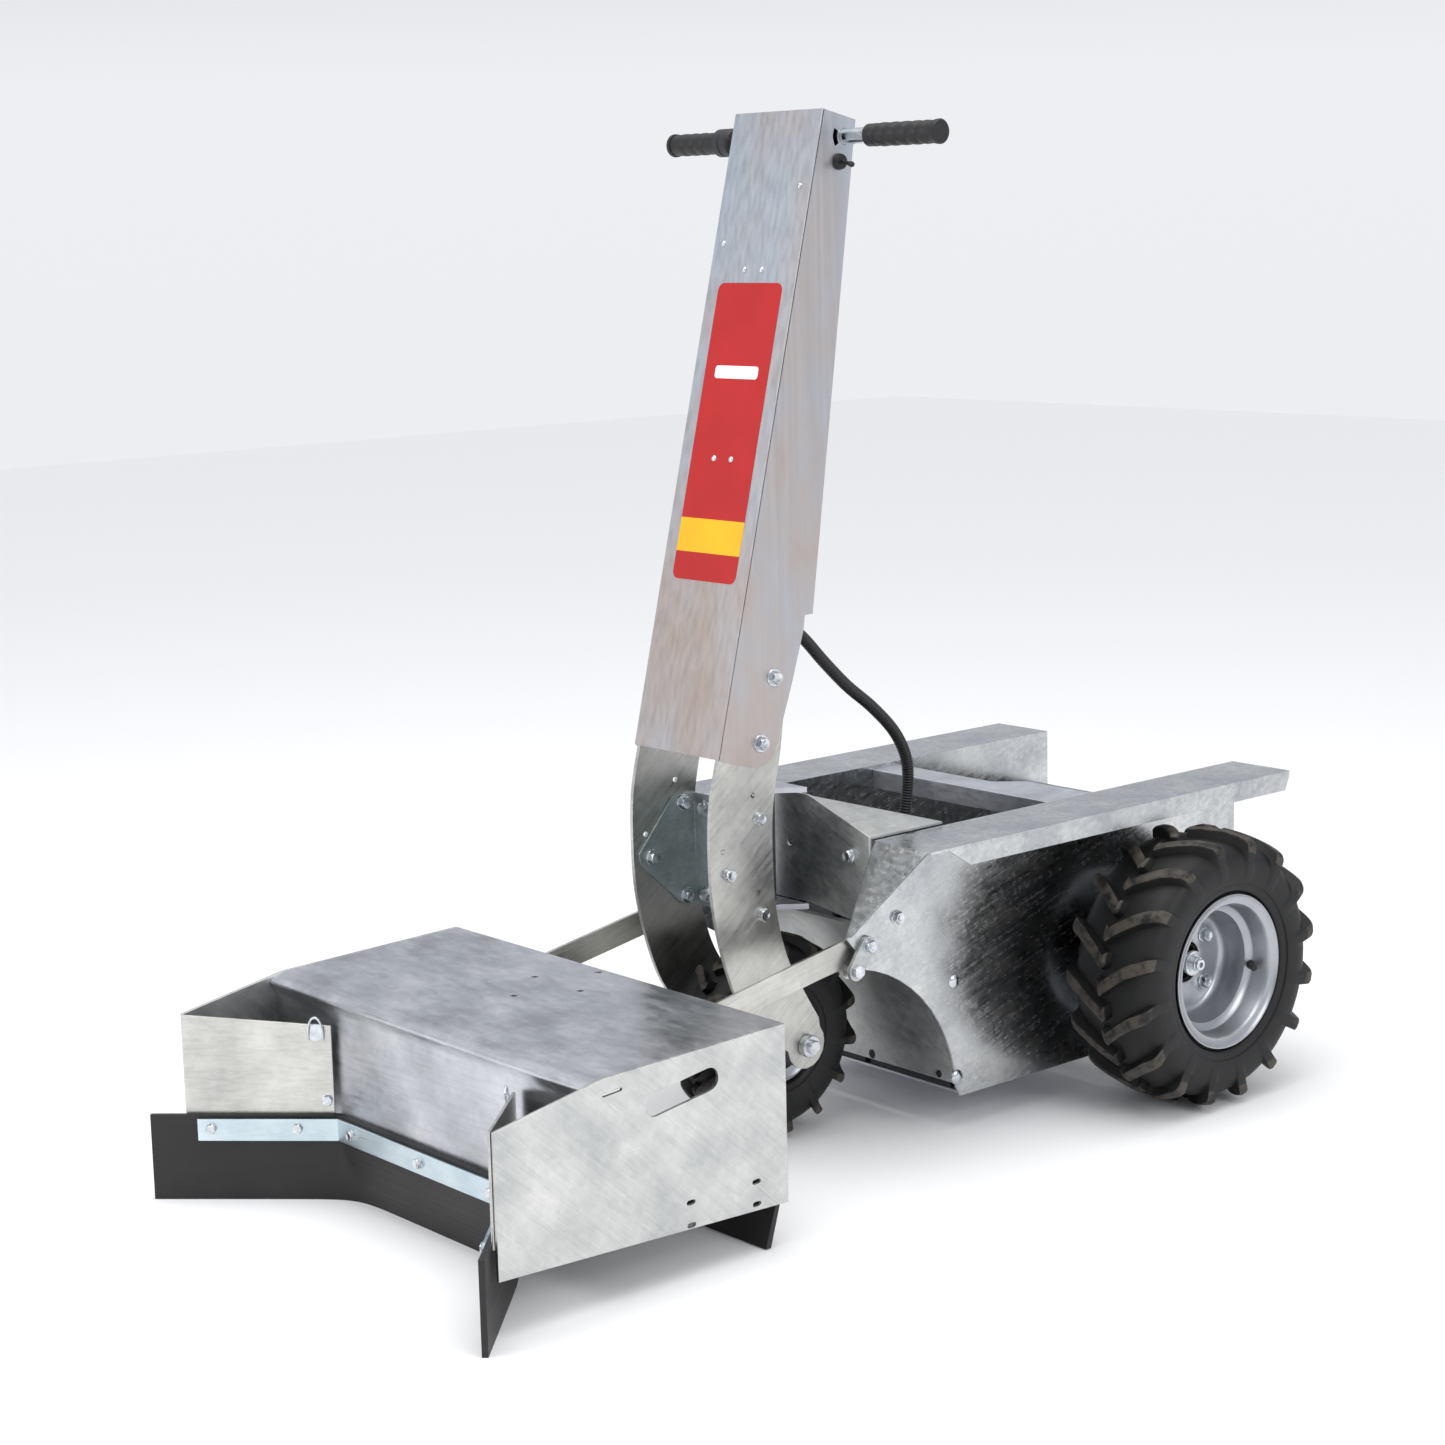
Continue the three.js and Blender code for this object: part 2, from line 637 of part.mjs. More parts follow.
// ---------------------------------------------------------------- wheels
// tyre with chevron lugs; the rim sits inside the beads
function tyre({ radius, width, beadRadius, flange, beadHalf, lugs, lugHeight, lugWidth }) {
  const half = width / 2;
  const crown = radius - lugHeight;
  const outer = [
    [beadHalf, beadRadius], [beadHalf, flange + 1], [half - 3, flange + 9],
    [half, (beadRadius + crown) / 2 + 6], [half - 4, crown - 14], [half * 0.78, crown - 4], [half * 0.4, crown],
  ];
  const inner = [
    [0, crown - 9], [half * 0.7, crown - 13], [half - 10, (beadRadius + crown) / 2 + 6],
    [beadHalf - 12, beadRadius + 14], [beadHalf - 14, beadRadius],
  ];
  const profile = [...outer, [0, crown + 1]];
  const leftSide = outer.map(([a, r]) => [-a, r]).reverse();
  const innerLeft = inner.slice(1).map(([a, r]) => [-a, r]).reverse();
  const loop = [...profile, ...leftSide, ...innerLeft, ...inner, outer[0]];
  const parts = [latheX(loop, 20)];
  const lugHalf = half * 0.51;
  const lugTurn = 28 * deg;
  const lugReach = lugHalf * Math.sin(lugTurn) + (lugWidth / 2) * Math.cos(lugTurn);
  const lugTop = Math.sqrt(radius ** 2 - lugReach ** 2); // keeps the lug's corners inside the radius
  for (let i = 0; i < lugs; i++) {
    for (const side of [1, -1]) {
      const lug = box(-lugHalf, lugHalf, -lugWidth / 2, lugWidth / 2, -lugHeight - 4, 0);
      lug.rotateZ(side * lugTurn).translate(side * half * 0.46, 0, lugTop);
      lug.rotateX(((i + (side > 0 ? 0 : 0.5)) / lugs) * 2 * Math.PI);
      parts.push(lug);
    }
  }
  return join(...parts);
}

const rearRimInner = rearWheelOuter - rearRimWidth;
const rearMid = (rearWheelOuter + rearRimInner) / 2;
const beadSeat = 101.6;
const rimWall = 3;
function rearRim() {
  const half = rearRimWidth / 2;
  const outer = [
    [half, rearFlangeRadius], [half - 5, rearFlangeRadius - 1], [half - 6, beadSeat], [half - 34, beadSeat - 2],
    [half - 42, beadSeat - 16], [-half + 42, beadSeat - 16], [-half + 34, beadSeat - 2], [-half + 6, beadSeat],
    [-half + 5, rearFlangeRadius - 1], [-half, rearFlangeRadius],
  ];
  const inner = [...outer].reverse().map(([a, r]) => [
    Math.abs(a) > half - 6 ? Math.sign(a) * half : a, r - rimWall - (Math.abs(a) > half - 6 ? 2 : 0)]);
  const barrel = latheX([...outer, ...inner, outer[0]], 20);
  const disc = rodX(rearDiscX - 4 - rearMid, rearDiscX - rearMid, 0, 0, beadSeat - 17.5, 20);
  const holes = [rodX(-60, 60, 0, 0, 31, 32)];
  for (let i = 0; i < 4; i++) {
    const angle = (45 + 90 * i) * deg;
    holes.push(rodX(-60, 60, 50 * Math.cos(angle), 50 * Math.sin(angle), 6.5, 12));
  }
  return join(barrel, cut(disc, ...holes));
}

function driveHub() {
  const hubFace = rearDiscX - 4 - gap;
  const profile = [
    [120, 0], [120, 12.5], [210, 12.5], [210, 24], [hubFace - 8, 28], [hubFace - 8, 62], [hubFace, 62],
    [hubFace, 29], [rearDiscX + 12, 27], [rearDiscX + 12, 12], [rearDiscX + 32, 12], [rearDiscX + 32, 0],
  ];
  return latheX(profile, 20);
}

const rearTyre = tyre({
  radius: rearWheelRadius, width: rearTyreWidth, beadRadius: beadSeat + gap, flange: rearFlangeRadius,
  beadHalf: rearRimWidth / 2 - 6 - gap, lugs: 12, lugHeight: 13, lugWidth: 17,
});
for (const [hand, s] of hands) {
  const shape = (g) => (s > 0 ? g : mirrored(g));
  const place = [s * rearMid, rearAxleY, rearAxleZ];
  add(chassis, `rear_tyre_${hand}`, shape(rearTyre), 'rubber', place);
  add(chassis, `rear_rim_${hand}`, shape(rearRim()), 'silver', place);
  add(chassis, `drive_hub_${hand}`, shape(driveHub()), 'cast', [0, rearAxleY, rearAxleZ]);
}

const frontSeat = 50.8;
function frontRim() {
  const half = 37;
  const profile = [
    [half, 66], [half - 4, 65], [half - 5, frontSeat], [half - 14, frontSeat - 3], [-half + 14, frontSeat - 3],
    [-half + 5, frontSeat], [-half + 4, 65], [-half, 66], [-half, 62], [-half + 2, frontSeat - 4],
    [-half + 14, frontSeat - 8], [-3, frontSeat - 8], [-3, 22], [-forkInner + 22, 20], [-forkInner + 22, axleRadius + gap],
    [forkInner - 22, axleRadius + gap], [forkInner - 22, 20], [3, 22], [3, frontSeat - 8],
    [half - 14, frontSeat - 8], [half - 2, frontSeat - 4], [half, 62], [half, 66],
  ];
  return latheX(profile, 20);
}
add(steering, 'front_rim', frontRim(), 'silver', [0, frontAxleY, frontAxleZ]);
const frontTyre = tyre({
  radius: frontWheelRadius, width: frontTyreWidth, beadRadius: frontSeat + gap, flange: 66,
  beadHalf: 37 - 5 - gap, lugs: 11, lugHeight: 11, lugWidth: 14,
});
add(steering, 'front_tyre', frontTyre, 'rubber', [0, frontAxleY, frontAxleZ]);

// ---------------------------------------------------------------- scraper
const boxInner = boxX - boxSheet - gap;
function boxSide() {
  const outline = shapeOf([
    [boxRear, 58], [boxRear, boxRearTop], [-595, 290], [boxFront, boxNoseTop], [boxFront, 75],
  ]);
  outline.holes.push(slotShape([-513, 239], [-425, 252], 15));
  outline.holes.push(slotShape([-594, 269], [-567, 271], 2));
  for (const y of [-460, -350]) {
    for (const z of [69, 99]) outline.holes.push(slotShape([y - 4, z], [y + 4, z], 3));
  }
  return plateX(outline, boxX - boxSheet, boxX);
}
addPair(scraper, 'box_side', boxSide(), 'galvanised');

function boxTop() {
  const t = 4;
  const outline = new THREE.Shape();
  outline.moveTo(boxRear, boxRearTop);
  outline.lineTo(-595, 290);
  outline.lineTo(boxBendY + 12, boxBendZ + 1);
  outline.quadraticCurveTo(boxBendY, boxBendZ - 1, boxBendY + 3, boxBendZ - 9);
  outline.lineTo(facePlateY, boxBendZ - 26);
  outline.lineTo(facePlateY, faceBottom);
  outline.lineTo(facePlateY + t, faceBottom);
  outline.lineTo(facePlateY + t, boxBendZ - 26);
  outline.lineTo(boxBendY + t + 3, boxBendZ - 10);
  outline.quadraticCurveTo(boxBendY + t + 2, boxBendZ - t - 1, boxBendY + 13, boxBendZ - t);
  outline.lineTo(-595, 290 - t);
  outline.lineTo(boxRear, boxRearTop - t);
  const sheetBody = plateX(outline, -boxInner, boxInner);
  const holes = [[-59, -380], [43, -380], [-8, -308], [-8, -454]].map(([x, y]) => rodZ(250, 320, x, y, 5, 14));
  return cut(sheetBody, ...holes);
}
add(scraper, 'box_top_plate', boxTop(), 'galvanised');

const wingStart = [boxInner, boxFront - 0.5];
const wingEnd = [wingInnerX, facePlateY - gap - 5];
const wingSheet = 4;
const wingLength = Math.hypot(wingEnd[0] - wingStart[0], wingEnd[1] - wingStart[1]);
const wingFront = normalOf(wingStart, wingEnd);
const rubberReach = 49.15; // rubber past the corner of the box
const rubberTop = 121;
const clampTop = 117;
const clampHeight = 31;

// point at a distance along the right wing and a distance in front of its back face
function alongWing(distance, ahead) {
  const t = distance / wingLength;
  return [0, 1].map((k) => wingStart[k] + (wingEnd[k] - wingStart[k]) * t + wingFront[k] * ahead);
}

function wingPlate() {
  const low = faceBottom + 2;
  const sheetBody = plateZ(stripOutline([wingStart, wingEnd], wingSheet), low, wingTop);
  const corners = sheetBody.getAttribute('position');
  for (let i = 0; i < corners.count; i += 1) {
    const inward = (boxInner - corners.getX(i)) / (boxInner - wingInnerX);
    const top = wingTop - (wingTop - wingInnerTop) * inward;
    if (corners.getZ(i) > low + 1) corners.setZ(i, top);
  }
  return sheetBody;
}
addPair(scraper, 'wing_plate', wingPlate(), 'galvanised');

function wingRubber() {
  const ahead = wingSheet + gap;
  const path = [alongWing(-rubberReach, ahead), alongWing(wingLength - 14, ahead)];
  return plateZ(stripOutline(path, rubber), rubberFoot, rubberTop);
}
addPair(scraper, 'rubber_wing', wingRubber(), 'rubber');

const faceY = facePlateY - gap;
function frontRubber() {
  const half = wingInnerX - 12;
  const profile = [
    [faceY, rubberTop], [faceY, 80], [faceY + 5, 44], [faceY + 22, rubberFoot], [faceY + 13, rubberFoot],
    [faceY - 3, 42], [faceY - rubber, 80], [faceY - rubber, rubberTop],
  ];
  return plateX(profile, -half, half);
}
add(scraper, 'rubber_front', frontRubber(), 'rubber');

// flat bar bent round the foot of the wings and face, outside the rubber
function clampBar() {
  const ahead = wingSheet + rubber + 2 * gap;
  const outerEnd = alongWing(18, ahead);
  const innerEnd = alongWing(wingLength, ahead);
  const y = faceY - rubber - gap;
  const share = (y - outerEnd[1]) / (innerEnd[1] - outerEnd[1]);
  const cornerX = outerEnd[0] + (innerEnd[0] - outerEnd[0]) * share;
  const path = [outerEnd, [cornerX, y], [-cornerX, y], [-outerEnd[0], outerEnd[1]]];
  return plateZ(stripOutline(path, 5), clampTop - clampHeight, clampTop);
}
add(scraper, 'clamp_bar_front', clampBar(), 'zinc');

const rearBarY = boxRear - 4;
function rearCrossbar() {
  return box(-boxInner, boxInner, rearBarY - 5, rearBarY, 64, 112);
}
add(scraper, 'rear_crossbar', rearCrossbar(), 'galvanised');
function rearRubber() {
  const y = rearBarY - 5 - gap;
  const profile = [[y, 110], [y, 60], [y - 18, rubberFoot + 1], [y - 27, rubberFoot + 1], [y - rubber, 60], [y - rubber, 110]];
  return plateX(profile, -boxInner, boxInner);
}
add(scraper, 'rubber_rear', rearRubber(), 'rubber');

const armFront = facePlateY + 4 + gap + 6;
function liftArm() {
  const c = Math.cos(armSlope);
  const s = Math.sin(armSlope);
  const at = (along, up) => [armPivotY - along * c - up * s, armPivotZ + 24 - along * s + up * c];
  const reach = (armPivotY - armFront) / c;
  const outline = new THREE.Shape();
  outline.moveTo(...at(reach, armHeight / 2));
  outline.lineTo(...at(reach, -armHeight / 2));
  outline.lineTo(...at(60, -armHeight / 2));
  outline.lineTo(armPivotY - 14, armPivotZ + 2);
  outline.absarc(armPivotY, armPivotZ, 14, 175 * deg, 360 * deg, false);
  outline.lineTo(armPivotY + 13, armPivotZ + 30);
  outline.quadraticCurveTo(armPivotY + 12, armPivotZ + 45, armPivotY - 4, armPivotZ + 43);
  outline.closePath();
  outline.holes.push(hole(armPivotY, armPivotZ, pivotBolt + gap));
  return plateX(outline, armOuterX - armPlate, armOuterX);
}
addPair(scraper, 'lift_arm', liftArm(), 'galvanised');

function armFoot() {
  const x0 = armOuterX + gap;
  const upright = box(x0, x0 + 5, armFront - 6, armFront + 90, 180, 246);
  const foot = box(x0, x0 + 50, armFront - 6, armFront - 1, 150, 246);
  return join(upright, foot);
}
addPair(scraper, 'arm_foot', armFoot(), 'galvanised');

// ---------------------------------------------------------------- flexible conduit
const conduitRadius = 9;
const conduitPoints = [
  [40, 8, 756], [40, 46, 724], [40, 80, 690], [40, 125, 649], [40, 175, 611], [40, 218, 570],
  [38, 244, 528], [35, 251, 487], [32, 247, 440], [32, 245, 410], [32, 245, controllerTop + 14 + 2 * gap],
];
function conduit() {
  const curve = new THREE.CatmullRomCurve3(conduitPoints.map((p) => new THREE.Vector3(...p)));
  const section = new THREE.Shape();
  section.absarc(0, 0, conduitRadius, 0, 2 * Math.PI, false);
  return new THREE.ExtrudeGeometry(section, { steps: 28, curveSegments: 5, bevelEnabled: false, extrudePath: curve });
}
add(scene, 'conduit', conduit(), 'plastic');

export default scene;
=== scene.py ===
import math

import bmesh
import bpy
import numpy as np
from mathutils import Matrix, Vector


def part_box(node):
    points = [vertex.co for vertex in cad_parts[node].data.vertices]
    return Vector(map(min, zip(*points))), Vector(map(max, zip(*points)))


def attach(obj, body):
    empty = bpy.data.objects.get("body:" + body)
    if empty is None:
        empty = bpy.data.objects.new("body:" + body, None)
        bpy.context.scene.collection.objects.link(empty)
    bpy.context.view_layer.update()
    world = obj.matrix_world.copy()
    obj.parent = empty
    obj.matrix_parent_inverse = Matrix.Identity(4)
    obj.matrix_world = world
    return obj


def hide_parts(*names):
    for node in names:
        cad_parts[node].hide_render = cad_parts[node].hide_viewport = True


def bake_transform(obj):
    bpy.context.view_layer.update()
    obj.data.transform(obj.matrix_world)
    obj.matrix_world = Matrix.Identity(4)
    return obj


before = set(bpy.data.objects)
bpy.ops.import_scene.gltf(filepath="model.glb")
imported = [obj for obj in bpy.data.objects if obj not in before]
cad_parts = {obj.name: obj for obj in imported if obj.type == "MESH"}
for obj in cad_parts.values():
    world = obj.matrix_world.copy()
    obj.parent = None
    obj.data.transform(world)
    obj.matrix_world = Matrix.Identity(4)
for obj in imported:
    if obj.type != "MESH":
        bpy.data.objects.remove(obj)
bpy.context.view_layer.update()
MM = 0.001
HANDS = {"right": 1, "left": -1}


# ---------------------------------------------------------------- camera
# A 70 mm lens on a 36 mm sensor, standing ahead of the machine on its right-hand side.
# The turn is counted from looking along +Y, the tilt is downwards, and the roll is about the line of sight.
camera_data = bpy.data.cameras.new("camera")
camera_data.lens = 70.0
camera_data.sensor_width = 36.0
camera_data.shift_x = 0.0014
camera_data.shift_y = -0.0083
camera_turn, camera_tilt, camera_roll = (math.radians(a) for a in (49.4, 9.9, -1.4))
camera_place = Vector((2.958, -2.617, 1.315))
level = Vector((math.cos(camera_turn), math.sin(camera_turn), 0))
ahead = Vector((
    -math.sin(camera_turn) * math.cos(camera_tilt),
    math.cos(camera_turn) * math.cos(camera_tilt),
    -math.sin(camera_tilt),
))
upright = level.cross(ahead)
camera_side = level * math.cos(camera_roll) + upright * math.sin(camera_roll)
camera_top = upright * math.cos(camera_roll) - level * math.sin(camera_roll)
camera = bpy.data.objects.new("camera", camera_data)
bpy.context.scene.collection.objects.link(camera)
turned = Matrix((camera_side, camera_top, -ahead)).transposed().to_4x4()
camera.matrix_world = Matrix.Translation(camera_place) @ turned
bpy.context.scene.camera = camera
bpy.context.scene.view_settings.view_transform = "Standard"


# ---------------------------------------------------------------- studio
# A pale floor under big soft lamps, and a pale room whose ceiling is brighter than its walls.
# None of it is part of the machine.
def srgb(code):
    """Linear colour with alpha from an sRGB hex code."""
    parts = [int(code[i : i + 2], 16) / 255 for i in (1, 3, 5)]
    return tuple(c / 12.92 if c <= 0.04045 else ((c + 0.055) / 1.055) ** 2.4 for c in parts) + (1.0,)


def add_node(tree, kind, inputs=None, **settings):
    """Adds a shader node, sets its own properties, and fills or links its input sockets."""
    made = tree.nodes.new("ShaderNode" + kind)
    for key, value in settings.items():
        setattr(made, key, value)
    for key, value in (inputs or {}).items():
        if isinstance(value, bpy.types.NodeSocket):
            tree.links.new(value, made.inputs[key])
        else:
            made.inputs[key].default_value = value
    return made


def add_ramp(tree, amount, stops, steps="LINEAR"):
    """Colour ramp over an amount from 0 to 1; stops are (place, hex code)."""
    made = add_node(tree, "ValToRGB", {"Fac": amount})
    ramp = made.color_ramp
    ramp.interpolation = steps
    while len(ramp.elements) < len(stops):
        ramp.elements.new(0.5)
    for element, (place, code) in zip(ramp.elements, stops):
        element.position = place
        element.color = srgb(code)
    return made.outputs["Color"]


def new_material(name):
    """Empty material with a Principled shader wired to its output. Returns the material, tree and shader."""
    material = bpy.data.materials.new(name)
    material.use_nodes = True
    tree = material.node_tree
    tree.nodes.clear()
    shader = add_node(tree, "BsdfPrincipled")
    add_node(tree, "OutputMaterial", {"Surface": shader.outputs["BSDF"]})
    return material, tree, shader


def wire(tree, source, shader, socket):
    """Links a source socket to one of the shader's inputs."""
    tree.links.new(source, shader.inputs[socket])


room = bpy.data.worlds.new("room")
room.use_nodes = True
room.node_tree.nodes.clear()
bpy.context.scene.world = room
room_direction = add_node(room.node_tree, "TexCoord").outputs["Generated"]
room_height = add_node(room.node_tree, "SeparateXYZ", {"Vector": room_direction}).outputs["Z"]
room_colour = add_ramp(room.node_tree, add_node(
    room.node_tree, "MapRange", {"Value": room_height, "From Min": -0.3, "From Max": 1.0}).outputs["Result"],
    [(0.0, "#e6e7ea"), (0.27, "#e9eaed"), (0.37, "#c3c6cc"), (0.56, "#bcc0c8"), (0.8, "#ffffff"), (1.0, "#ffffff")])
room_light = add_node(room.node_tree, "Background", {"Color": room_colour, "Strength": 1.05})
add_node(room.node_tree, "OutputWorld", {"Surface": room_light.outputs["Background"]})


def soft_lamp(name, place, aim, size, power):
    """Square area lamp at a place, turned to face an aim point."""
    data = bpy.data.lights.new(name, "AREA")
    data.shape = "SQUARE"
    data.size = size
    data.energy = power
    lamp = bpy.data.objects.new(name, data)
    bpy.context.scene.collection.objects.link(lamp)
    lamp.location = place
    lamp.rotation_euler = (Vector(aim) - Vector(place)).to_track_quat("-Z", "Y").to_euler()


soft_lamp("overhead", (0.4, -0.4, 3.8), (0, 0, 0.3), 3.0, 70)
soft_lamp("front_fill", (-1.6, -4.2, 2.4), (0, -0.3, 0.5), 2.2, 50)
soft_lamp("side_key", (4.6, 0.6, 2.6), (0, 0, 0.4), 2.2, 60)

floor_mesh = bpy.data.meshes.new("floor")
floor_half = 12.0
floor_corners = [(x * floor_half, y * floor_half, 0) for x, y in [(-1, -1), (1, -1), (1, 1), (-1, 1)]]
floor_mesh.from_pydata(floor_corners, [], [(0, 1, 2, 3)])
floor = bpy.data.objects.new("floor", floor_mesh)
bpy.context.scene.collection.objects.link(floor)
floor_paint, _, floor_shader = new_material("pale_floor")
floor_shader.inputs["Base Color"].default_value = srgb("#f6f6f7")
floor_shader.inputs["Roughness"].default_value = 0.9
floor_mesh.materials.append(floor_paint)


# ---------------------------------------------------------------- conduit
# Corrugated black polyamide hose that carries the control wires from the mast's open foot down to the gland on the
# controller. It is held at both ends and sags between them.
def grid_mesh(name, points, wrap=(False, False)):
    """Mesh from a (rows, columns, 3) array of points: one quad per cell, closed along the wrapped directions."""
    rows, columns = points.shape[:2]
    row = np.arange(rows if wrap[0] else rows - 1)
    column = np.arange(columns if wrap[1] else columns - 1)
    r, c = np.meshgrid(row, column, indexing="ij")
    r2, c2 = (r + 1) % rows, (c + 1) % columns
    quads = np.stack([r * columns + c, r * columns + c2, r2 * columns + c2, r2 * columns + c], -1).reshape(-1, 4)
    mesh = bpy.data.meshes.new(name)
    mesh.vertices.add(rows * columns)
    mesh.vertices.foreach_set("co", points.reshape(-1).astype(np.float32))
    mesh.loops.add(quads.size)
    mesh.loops.foreach_set("vertex_index", quads.reshape(-1).astype(np.int32))
    mesh.polygons.add(len(quads))
    mesh.polygons.foreach_set("loop_start", (np.arange(len(quads)) * 4).astype(np.int32))
    mesh.update(calc_edges=True)
    return mesh


def finish_mesh(mesh, crease=35):
    """Merges coincident points, drops the empty faces at poles, points all faces outwards and marks hard edges."""
    work = bmesh.new()
    work.from_mesh(mesh)
    bmesh.ops.remove_doubles(work, verts=work.verts, dist=2e-6)
    bmesh.ops.dissolve_degenerate(work, edges=work.edges, dist=1e-7)
    bmesh.ops.recalc_face_normals(work, faces=work.faces)
    work.to_mesh(mesh)
    work.free()
    mesh.polygons.foreach_set("use_smooth", np.ones(len(mesh.polygons), bool))
    mesh.set_sharp_from_angle(angle=math.radians(crease))
    return mesh


def piece(name, mesh, material, body, replaced=()):
    """Puts a finished mesh into the scene as a piece that rides on a body."""
    mesh.materials.append(material)
    made = bpy.data.objects.new(name, mesh)
    bpy.context.scene.collection.objects.link(made)
    if body:
        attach(made, body)
    if replaced:
        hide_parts(*replaced)
    return made


def through(points, per_span):
    """Catmull-Rom curve: each span is the cubic that leaves and enters its ends along the neighbours' chords."""
    p = np.asarray(points, float)
    p = np.vstack([2 * p[0] - p[1], p, 2 * p[-1] - p[-2]])
    t = np.linspace(0, 1, per_span, endpoint=False)[None, :, None]
    a, b, c, d = (p[i : len(p) - 3 + i][:, None, :] for i in range(4))
    spans = 0.5 * (2 * b + (c - a) * t + (2 * a - 5 * b + 4 * c - d) * t**2 + (3 * b - a - 3 * c + d) * t**3)
    return np.vstack([spans.reshape(-1, p.shape[1]), p[-2]])


def tube(path, radius, across, sides=16):
    """Round section carried along a path. Its frame is the cross product of the direction with a fixed vector."""
    direction = np.gradient(path, axis=0)
    direction /= np.linalg.norm(direction, axis=1)[:, None]
    first = np.cross(direction, np.asarray(across, float))
    first /= np.linalg.norm(first, axis=1)[:, None]
    second = np.cross(direction, first)
    angle = np.linspace(0, 2 * np.pi, sides, endpoint=False)[None, :, None]
    reach = np.broadcast_to(radius, len(path))[:, None, None]
    ring = path[:, None, :] + reach * (np.cos(angle) * first[:, None, :] + np.sin(angle) * second[:, None, :])
    start = np.broadcast_to(path[0], (1, sides, 3))
    end = np.broadcast_to(path[-1], (1, sides, 3))
    return np.concatenate([start, ring, end])


def along(path):
    """Distance from the start of a path to each of its points."""
    return np.concatenate([[0], np.cumsum(np.linalg.norm(np.diff(path, axis=0), axis=1))])


def moulded_plastic(name, colour, rough, grain_mm, grain_depth_mm):
    """Moulded plastic: one colour with slight clouding, and a fine grain in the surface."""
    material, tree, shader = new_material(name)
    place = add_node(tree, "TexCoord").outputs["Object"]
    cloud = add_node(tree, "TexNoise", {"Vector": place, "Scale": 1 / (60 * MM), "Detail": 3.0}).outputs["Fac"]
    grain = add_node(tree, "TexNoise", {"Vector": place, "Scale": 1 / (grain_mm * MM), "Detail": 2.0}).outputs["Fac"]
    wire(tree, add_ramp(tree, cloud, [(0.3, colour[0]), (0.7, colour[1])]), shader, "Base Color")
    shine = add_node(tree, "MapRange", {"Value": cloud, "To Min": rough - 0.08, "To Max": rough + 0.08})
    wire(tree, shine.outputs["Result"], shader, "Roughness")
    bump = add_node(tree, "Bump", {"Height": grain, "Strength": 0.5, "Distance": grain_depth_mm * MM})
    wire(tree, bump.outputs["Normal"], shader, "Normal")
    return material


conduit_route = np.array([
    [40, 8, 756], [40, 46, 724], [40, 80, 690], [40, 125, 649], [40, 175, 611], [40, 218, 570], [38, 244, 528],
    [35, 251, 487], [32, 247, 440], [32, 245, 410], [32, 245, 386.6],
]) * MM
conduit_radius = 9 * MM
rib_pitch = 4.2 * MM
rib_depth = 1.3 * MM
conduit_line = through(conduit_route, 12)
conduit_length = along(conduit_line)[-1]
conduit_steps = np.linspace(0, conduit_length, int(conduit_length / rib_pitch) * 6)
conduit_fine = np.stack([np.interp(conduit_steps, along(conduit_line), conduit_line[:, k]) for k in range(3)], -1)
rib_wave = 0.5 + 0.5 * np.tanh(3 * np.cos(2 * np.pi * conduit_steps / rib_pitch)) / np.tanh(3)
conduit_mesh = grid_mesh("conduit_hose", tube(
    conduit_fine, conduit_radius - rib_depth * (1 - rib_wave), (1, 0, 0), 20), (False, True))
conduit_plastic = moulded_plastic("black_polyamide", ("#0c0c0d", "#151517"), 0.42, 1.5, 0.03)
conduit = piece("conduit_hose", finish_mesh(conduit_mesh, 60), conduit_plastic, None, ["conduit"])
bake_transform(conduit)


# ---------------------------------------------------------------- galvanised sheet
# Laser-cut and folded steel sheet, hot-dip galvanised after welding. The zinc has faint crystals, cloudy patches and
# fine rubbing marks; the cut edges keep a thin round of zinc.
def stretched(tree, place, turn, size_mm):
    """Coordinates for a drawn-out pattern: turned by angles in degrees, then one unit is size_mm along each axis."""
    made = add_node(tree, "Mapping", {
        "Vector": place, "Rotation": [math.radians(a) for a in turn], "Scale": [s * MM for s in size_mm],
    }, vector_type="TEXTURE")
    return made.outputs["Vector"]


